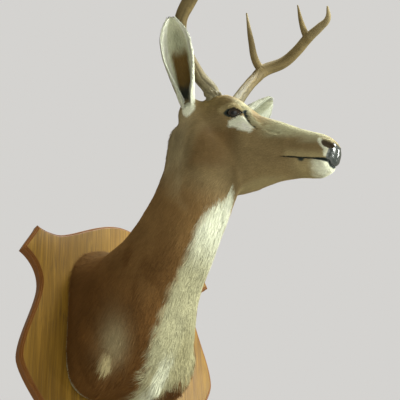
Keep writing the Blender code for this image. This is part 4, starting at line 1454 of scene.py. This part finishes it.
def bumpInto(tree, shader, height, strength, distance):
    bump = addNode(tree, "Bump", {"Height": height, "Strength": strength, "Distance": distance})
    tree.links.new(bump.outputs["Normal"], shader["Normal"])


def coatMaterial(mottle):
    return mottledMaterial("deerHair", "markings", mottle)[0]


def skinMaterial(mottle):
    # dry bare skin, and a wet pebbled nose
    material, tree, shader, _ = mottledMaterial("deerSkin", "markings", mottle)
    pad, place = colourFrom(tree, "nosePad"), placeIn(tree)
    wet = combined(tree, "ADD", colourFrom(tree, "bareSkin"), pad)
    tree.links.new(remap(tree, wet, 0.80, 0.24, 0.0, 2.0), shader["Roughness"])
    tree.links.new(pad, shader["Coat Weight"])
    pebble = addNode(tree, "TexVoronoi", {"Vector": place, "Scale": 640.0}, feature="SMOOTH_F1")
    relief = addNode(tree, "Mix", {0: pad, 2: noise(tree, place, 900.0, 3.0),
                                   3: pebble.outputs["Distance"]})
    bumpInto(tree, shader, relief.outputs[0], 0.24, 0.0006)
    return material


def eyeMaterial():
    material, tree, shader = newMaterial("glassEye")
    tree.links.new(colourFrom(tree, "irisColour"), shader["Base Color"])
    return material


def antlerMaterial(mottle):
    material, tree, shader, mask = mottledMaterial("antlerBone", "boneColour", mottle)
    tree.links.new(remap(tree, mask, 0.52, 0.75, 0.7, 1.3), shader["Roughness"])
    bumpInto(tree, shader, noise(tree, placeIn(tree), 420.0, 4.0), 0.35, 0.0006)
    return material


oakPlan = {
    "dark": (0.168, 0.088, 0.011), "light": (0.385, 0.230, 0.034), "lineColour": (0.160, 0.086, 0.017),
    "bandTint": (0.72, 0.62, 0.50), "edgeColour": (0.170, 0.052, 0.010),
    "figureScale": 85.0, "bandScale": 22.0, "lineScale": 640.0, "wander": 0.018,
    "figureStretch": 0.045, "lineStretch": 0.010,
}


def stretched(tree, place, share):
    # places pulled along the grain, which runs up the board
    node = addNode(tree, "Mapping", {"Vector": place, "Scale": (1.0, 1.0, share)})
    return node.outputs[0]


def oakMaterial():
    # straight-grained oak: stretched noise for the figure, fine dark lines, warm routed edge
    material, tree, shader = newMaterial("oiledOak")
    place = placeIn(tree)
    wobble = addNode(tree, "TexNoise", {"Vector": place, "Scale": 4.0})
    shift = addNode(tree, "VectorMath", {0: wobble.outputs["Color"], "Scale": oakPlan["wander"]},
                    operation="SCALE")
    moved = addNode(tree, "VectorMath", {0: place, 1: shift.outputs[0]}, operation="ADD").outputs[0]
    alongGrain = stretched(tree, moved, oakPlan["figureStretch"])
    figure = noise(tree, alongGrain, oakPlan["figureScale"], 4.0, 0.6)
    bands = noise(tree, alongGrain, oakPlan["bandScale"])
    lines = noise(tree, stretched(tree, moved, oakPlan["lineStretch"]), oakPlan["lineScale"])
    lines = remap(tree, lines, 0.0, 1.0, 0.50, 0.66)
    ramp = addNode(tree, "ValToRGB", {0: figure})
    for element, at, key in zip(ramp.color_ramp.elements, (0.30, 0.72), ("dark", "light")):
        element.position, element.color = at, (*oakPlan[key], 1)
    tone = blend(tree, bands, ramp.outputs["Color"], oakPlan["bandTint"], "MULTIPLY")
    tone = blend(tree, lines, tone, oakPlan["lineColour"])
    tone = blend(tree, colourFrom(tree, "routedEdge"), tone, oakPlan["edgeColour"])
    tree.links.new(tone, shader["Base Color"])
    tree.links.new(remap(tree, figure, 0.34, 0.52), shader["Roughness"])
    bumpInto(tree, shader, combined(tree, "SUBTRACT", figure, lines), 0.25, 0.0004)
    return material


studioPlan = {
    "floorSize": 9.0, "floorHeight": -1.65, "airColour": (1.0, 0.92, 0.76, 1), "airPower": 0.36,
    "backdrop": (0.66, 0.65, 0.63, 1), "lampColour": (0.97, 1.0, 0.93), "lampAim": (0.05, -0.20, 0.20),
    # place, size and power
    "lamps": {"key": ((1.35, -1.75, 0.50), 0.7, 54), "fill": ((-1.3, -2.3, -0.5), 2.2, 16),
              "top": ((0.6, -0.7, 2.1), 1.1, 76), "spark": ((0.85, -2.1, -0.6), 0.14, 5)},
    # right, up and view axes of the camera
    "lens": 80.6, "cameraPlace": (-0.7885, -1.4530, -0.5907),
    "cameraAxes": ((0.837, -0.544, -0.050), (-0.234, -0.439, 0.867), (0.494, 0.715, 0.495)),
}


def makeStudio():
    # pale floor, even air, four round lamps and the camera
    size, low = studioPlan["floorSize"], studioPlan["floorHeight"]
    mesh = bpy.data.meshes.new("studioFloor")
    mesh.from_pydata([(x * size, y * size, low) for x, y in ((-1, -1), (1, -1), (1, 1), (-1, 1))],
                     [], [(0, 1, 2, 3)])
    mesh.materials.append(newMaterial("paleFloor")[0])
    addObject("studioFloor", mesh)
    world = bpy.data.worlds.new("studioAir")
    world.use_nodes = True
    air = world.node_tree
    light = air.nodes["Background"]
    light.inputs["Color"].default_value = studioPlan["airColour"]
    light.inputs["Strength"].default_value = studioPlan["airPower"]
    seen = addNode(air, "Background", {"Color": studioPlan["backdrop"], "Strength": 1.0})
    both = addNode(air, "MixShader", {0: addNode(air, "LightPath").outputs["Is Camera Ray"],
                                      1: light.outputs[0], 2: seen.outputs[0]})
    air.links.new(both.outputs[0], air.nodes["World Output"].inputs["Surface"])
    bpy.context.scene.world = world
    aim = Vector(studioPlan["lampAim"])
    for name, (place, wide, power) in studioPlan["lamps"].items():
        lamp = bpy.data.lights.new(name + "Light", "AREA")
        lamp.shape, lamp.size, lamp.energy = "DISK", wide, power
        lamp.color = studioPlan["lampColour"]
        obj = addObject(name + "Light", lamp)
        obj.location = place
        obj.rotation_euler = (aim - Vector(place)).to_track_quat("-Z", "Y").to_euler()
    camera = bpy.data.cameras.new("camera")
    camera.lens, camera.sensor_width = studioPlan["lens"], 36.0
    eye = addObject("camera", camera)
    right, up, view = (Vector(axis) for axis in studioPlan["cameraAxes"])
    eye.matrix_world = (Matrix.Translation(studioPlan["cameraPlace"])
                        @ Matrix((right, up, -view)).transposed().to_4x4())
    bpy.context.scene.camera = eye
    bpy.context.scene.view_settings.view_transform = "Standard"


def dress(obj, material, slotName, *nodes):
    obj.data.materials.clear()
    obj.data.materials.append(material)
    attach(obj, "root")
    if nodes:
        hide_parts(*nodes)


def main():
    mottle = mottleGroup()
    hair, hide = coatMaterial(mottle), skinMaterial(mottle)
    skin, onEar, bare = makeSkin()
    dress(skin, hide, "neck", "trunk", "neck", "head", "muzzle", "lower_jaw", "nose",
          "ear_left", "ear_right")
    for piece, slotName in makeCoat(skin, onEar, bare):
        dress(piece, hair, slotName)
    for side in sideSigns:
        dress(makeEarCoat(side), hair, "ear_" + side)
    print("coat on the ears done")
    glass, bone = eyeMaterial(), antlerMaterial(mottle)
    for side in sideSigns:
        dress(makeEye(side), glass, "eye_" + side, "eye_" + side)
        parts = [f"antler_{side}_{part}" for part in ("base", "beam", "rear_tine", "front_tine", "tip")]
        dress(makeAntler(side), bone, parts[0], *parts)
    dress(makeBoard(), oakMaterial(), "plaque", "plaque")
    print("board done")
    makeStudio()
    print("studio done")


main()
